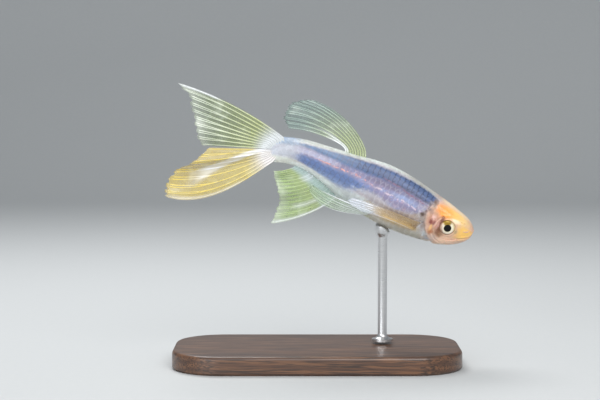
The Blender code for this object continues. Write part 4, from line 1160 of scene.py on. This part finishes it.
def make_base():
    low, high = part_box("stand_base")
    length, width, top = [(high[k] - low[k]) / MM for k in range(3)]
    corner, steps, chamfer, edge = 8.0, 16, 0.35, 0.6
    rim = [(chamfer, 0.0), (0.0, chamfer)]
    for a in np.linspace(0, math.pi / 2, 7):
        rim.append((edge - edge * math.cos(a), top - edge + edge * math.sin(a)))
    rings = []
    for inset, height in rim:
        ring = []
        for sx, sy, start in ((1, 1, 0), (-1, 1, 90), (-1, -1, 180), (1, -1, 270)):
            for k in range(steps + 1):
                a = math.radians(start + 90 * k / steps)
                ring.append((
                    sx * (length / 2 - corner) + (corner - inset) * math.cos(a),
                    sy * (width / 2 - corner) + (corner - inset) * math.sin(a), height))
        rings.append(ring)
    count = len(rings[0])
    faces = ring_faces(len(rings), count)
    faces += [list(range(count))[::-1], [(len(rings) - 1) * count + j for j in range(count)]]
    base = made_mesh("stand_plinth", [p for ring in rings for p in ring], faces)
    base.data.set_sharp_from_angle(angle=math.radians(40))
    material, mix, shader = new_finish("walnut", {"Coat Weight": 0.35, "Coat Roughness": 0.22})
    here = mix.add("ShaderNodeTexCoord", out=3)
    wander = mix.noise(mix.mapped(here, Scale=(0.10, 1.0, 1.0)), 110.0, 3.0)
    heart = mix.mapped(
        here, Location=(0.0, 0.009, 0.024), Rotation=(0.0, 0.02, 0.05), Scale=(0.0, 1.0, 1.0))
    age = mix.sum("MULTIPLY_ADD", wander, 0.011, mix.length(heart))
    rings_of_growth = mix.sum("SINE", mix.times(age, 4200.0))
    fibre = mix.noise(mix.mapped(here, Scale=(0.04, 1.0, 1.0)), 5200.0, 3.0)
    wood = mix.blend(mix.fade(rings_of_growth, -0.7, 1.0), tone(104, 70, 46), tone(78, 50, 33))
    wood = mix.blend(mix.fade(fibre, 0.42, 0.66), wood, tone(50, 32, 22))
    mix.put(shader["Base Color"], wood)
    mix.put(shader["Roughness"], mix.sum("MULTIPLY_ADD", fibre, 0.25, 0.32))
    mix.put(shader["Normal"], mix.bump(0.4, 0.00006, fibre))
    base.data.materials.append(material)
    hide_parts("stand_base")
    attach(base, "root")


def make_rod():
    low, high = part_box("stand_rod")
    foot = low[2] / MM
    centre = (low + high) / 2 / MM
    under = body_point(ROD_SHARE, math.pi)
    top = under[2] - 0.3
    profile = [(1.45, foot), (1.7, foot + 0.12), (1.7, foot + 0.42)]
    stem, flare = 0.75, 0.95
    for a in np.linspace(0, math.pi / 2, 9):
        profile.append((stem + flare * (1 - math.sin(a)), foot + 0.52 + 0.8 * (1 - math.cos(a))))
    profile += [(stem, top - 1.6), (0.8, top - 1.45), (0.98, top - 1.1), (1.12, top - 0.8), (1.15, None)]
    profile += [(1.08, None), (0.8, None), (0.4, None)]
    turn = 2 * np.pi * np.arange(ROD_SIDES) / ROD_SIDES
    bones = np.linspace(ROD_SHARE - 0.08, ROD_SHARE + 0.08, 81)[:, None]
    belly = body_point(bones, np.radians(np.linspace(90, 270, 181))[None]).reshape(-1, 3)

    def under_belly(x, y):
        near = np.hypot(belly[:, 0] - x, belly[:, 1] - y)
        return belly[near < 0.22][:, 2].min() - 0.26

    points = []
    for radius, height in profile:
        for a in turn:
            x, y = centre[0] + radius * math.cos(a), centre[1] + radius * math.sin(a)
            z = height if height is not None else under_belly(x, y) - (0.12 if radius > 1.1 else 0.0)
            points.append((x, y, z))
    points += [(centre[0], centre[1], under_belly(centre[0], centre[1])), (centre[0], centre[1], foot)]
    rings = len(profile)
    faces = ring_faces(rings, ROD_SIDES)
    last = (rings - 1) * ROD_SIDES
    for j in range(ROD_SIDES):
        beside = (j + 1) % ROD_SIDES
        faces += [(last + j, last + beside, len(points) - 2), (beside, j, len(points) - 1)]
    rod = made_mesh("stand_post", points, faces)
    rod.data.set_sharp_from_angle(angle=math.radians(40))
    material, mix, shader = new_finish("brushed_steel", {"Metallic": 1.0})
    here = mix.add("ShaderNodeTexCoord", out=3)
    lathe = mix.noise(mix.mapped(here, Scale=(0.05, 0.05, 1.0)), 9000.0, 3.0)
    smudge = mix.noise(here, 320.0, 3.0)
    mix.put(shader["Base Color"], mix.blend(lathe, tone(190, 191, 193), tone(214, 214, 214)))
    turned = mix.sum("MULTIPLY_ADD", lathe, 0.14, 0.16)
    mix.put(shader["Roughness"], mix.sum("MULTIPLY_ADD", smudge, 0.16, turned))
    mix.put(shader["Normal"], mix.bump(0.3, 0.00001, lathe))
    rod.data.materials.append(material)
    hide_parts("stand_rod")
    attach(rod, "root")


make_base()
make_rod()

# Studio
# A pale sweep of paper, three soft lights and the camera, which looks at the fish's right side from a
# little above it.
SEEN_WIDTH, FOCAL, SENSOR, TILT = 96, 100, 36, math.radians(4)


def make_sweep():
    behind, bend = 0.36, 0.20
    profile = [(-0.7, 0.0), (behind, 0.0)]
    for a in np.linspace(0.1, math.pi / 2, 16):
        profile.append((behind + bend * math.sin(a), bend * (1 - math.cos(a))))
    profile.append((0.56, 1.0))
    points = [(x, y / MM, z / MM) for y, z in profile for x in (-1200.0, 1200.0)]
    faces = [(2 * k, 2 * k + 1, 2 * k + 3, 2 * k + 2) for k in range(len(profile) - 1)]
    sweep = made_mesh("paper_sweep", points, faces)
    material, mix, shader = new_finish("pale_paper", {})
    here = mix.add("ShaderNodeTexCoord", out=3)
    tooth = mix.noise(here, 900.0, 3.0)
    mix.put(shader["Base Color"], mix.blend(tooth, tone(184, 187, 188), tone(190, 192, 193)))
    mix.put(shader["Roughness"], mix.sum("MULTIPLY_ADD", tooth, 0.1, 0.8))
    sweep.data.materials.append(material)


def soft_light(name, at, towards, size, power, shade=(1.0, 1.0, 1.0)):
    lamp = bpy.data.lights.new(name, "AREA")
    lamp.shape, lamp.size, lamp.energy, lamp.color = "DISK", size, power, shade
    light = bpy.data.objects.new(name, lamp)
    light.location = at
    light.rotation_euler = (Vector(towards) - Vector(at)).to_track_quat("-Z", "Y").to_euler()
    bpy.context.scene.collection.objects.link(light)


make_sweep()
middle = (0.0, 0.0, 0.028)
soft_light("key", (0.09, -0.30, 0.24), middle, 0.26, 1.15, (1.0, 0.985, 0.96))
soft_light("fill", (-0.20, -0.32, 0.05), middle, 0.30, 0.80, (0.96, 0.98, 1.0))
soft_light("rim", (-0.06, 0.12, 0.26), middle, 0.16, 0.60)
scene = bpy.context.scene
world = bpy.data.worlds.new("studio_air")
world.use_nodes = True
world.node_tree.nodes["Background"].inputs["Color"].default_value = (0.86, 0.90, 0.94, 1.0)
world.node_tree.nodes["Background"].inputs["Strength"].default_value = 0.50
scene.world = world
scene.view_settings.view_transform = "Standard"

lens = bpy.data.cameras.new("camera")
lens.lens, lens.sensor_width, lens.clip_start, lens.clip_end = FOCAL, SENSOR, 0.01, 10
camera = bpy.data.objects.new("camera", lens)
away = SEEN_WIDTH / SENSOR * FOCAL * MM
camera.location = Vector((-2.72 * MM, -away * math.cos(TILT), 26.4 * MM + away * math.sin(TILT)))
camera.rotation_euler = (math.radians(90) - TILT, 0, 0)
scene.collection.objects.link(camera)
scene.camera = camera
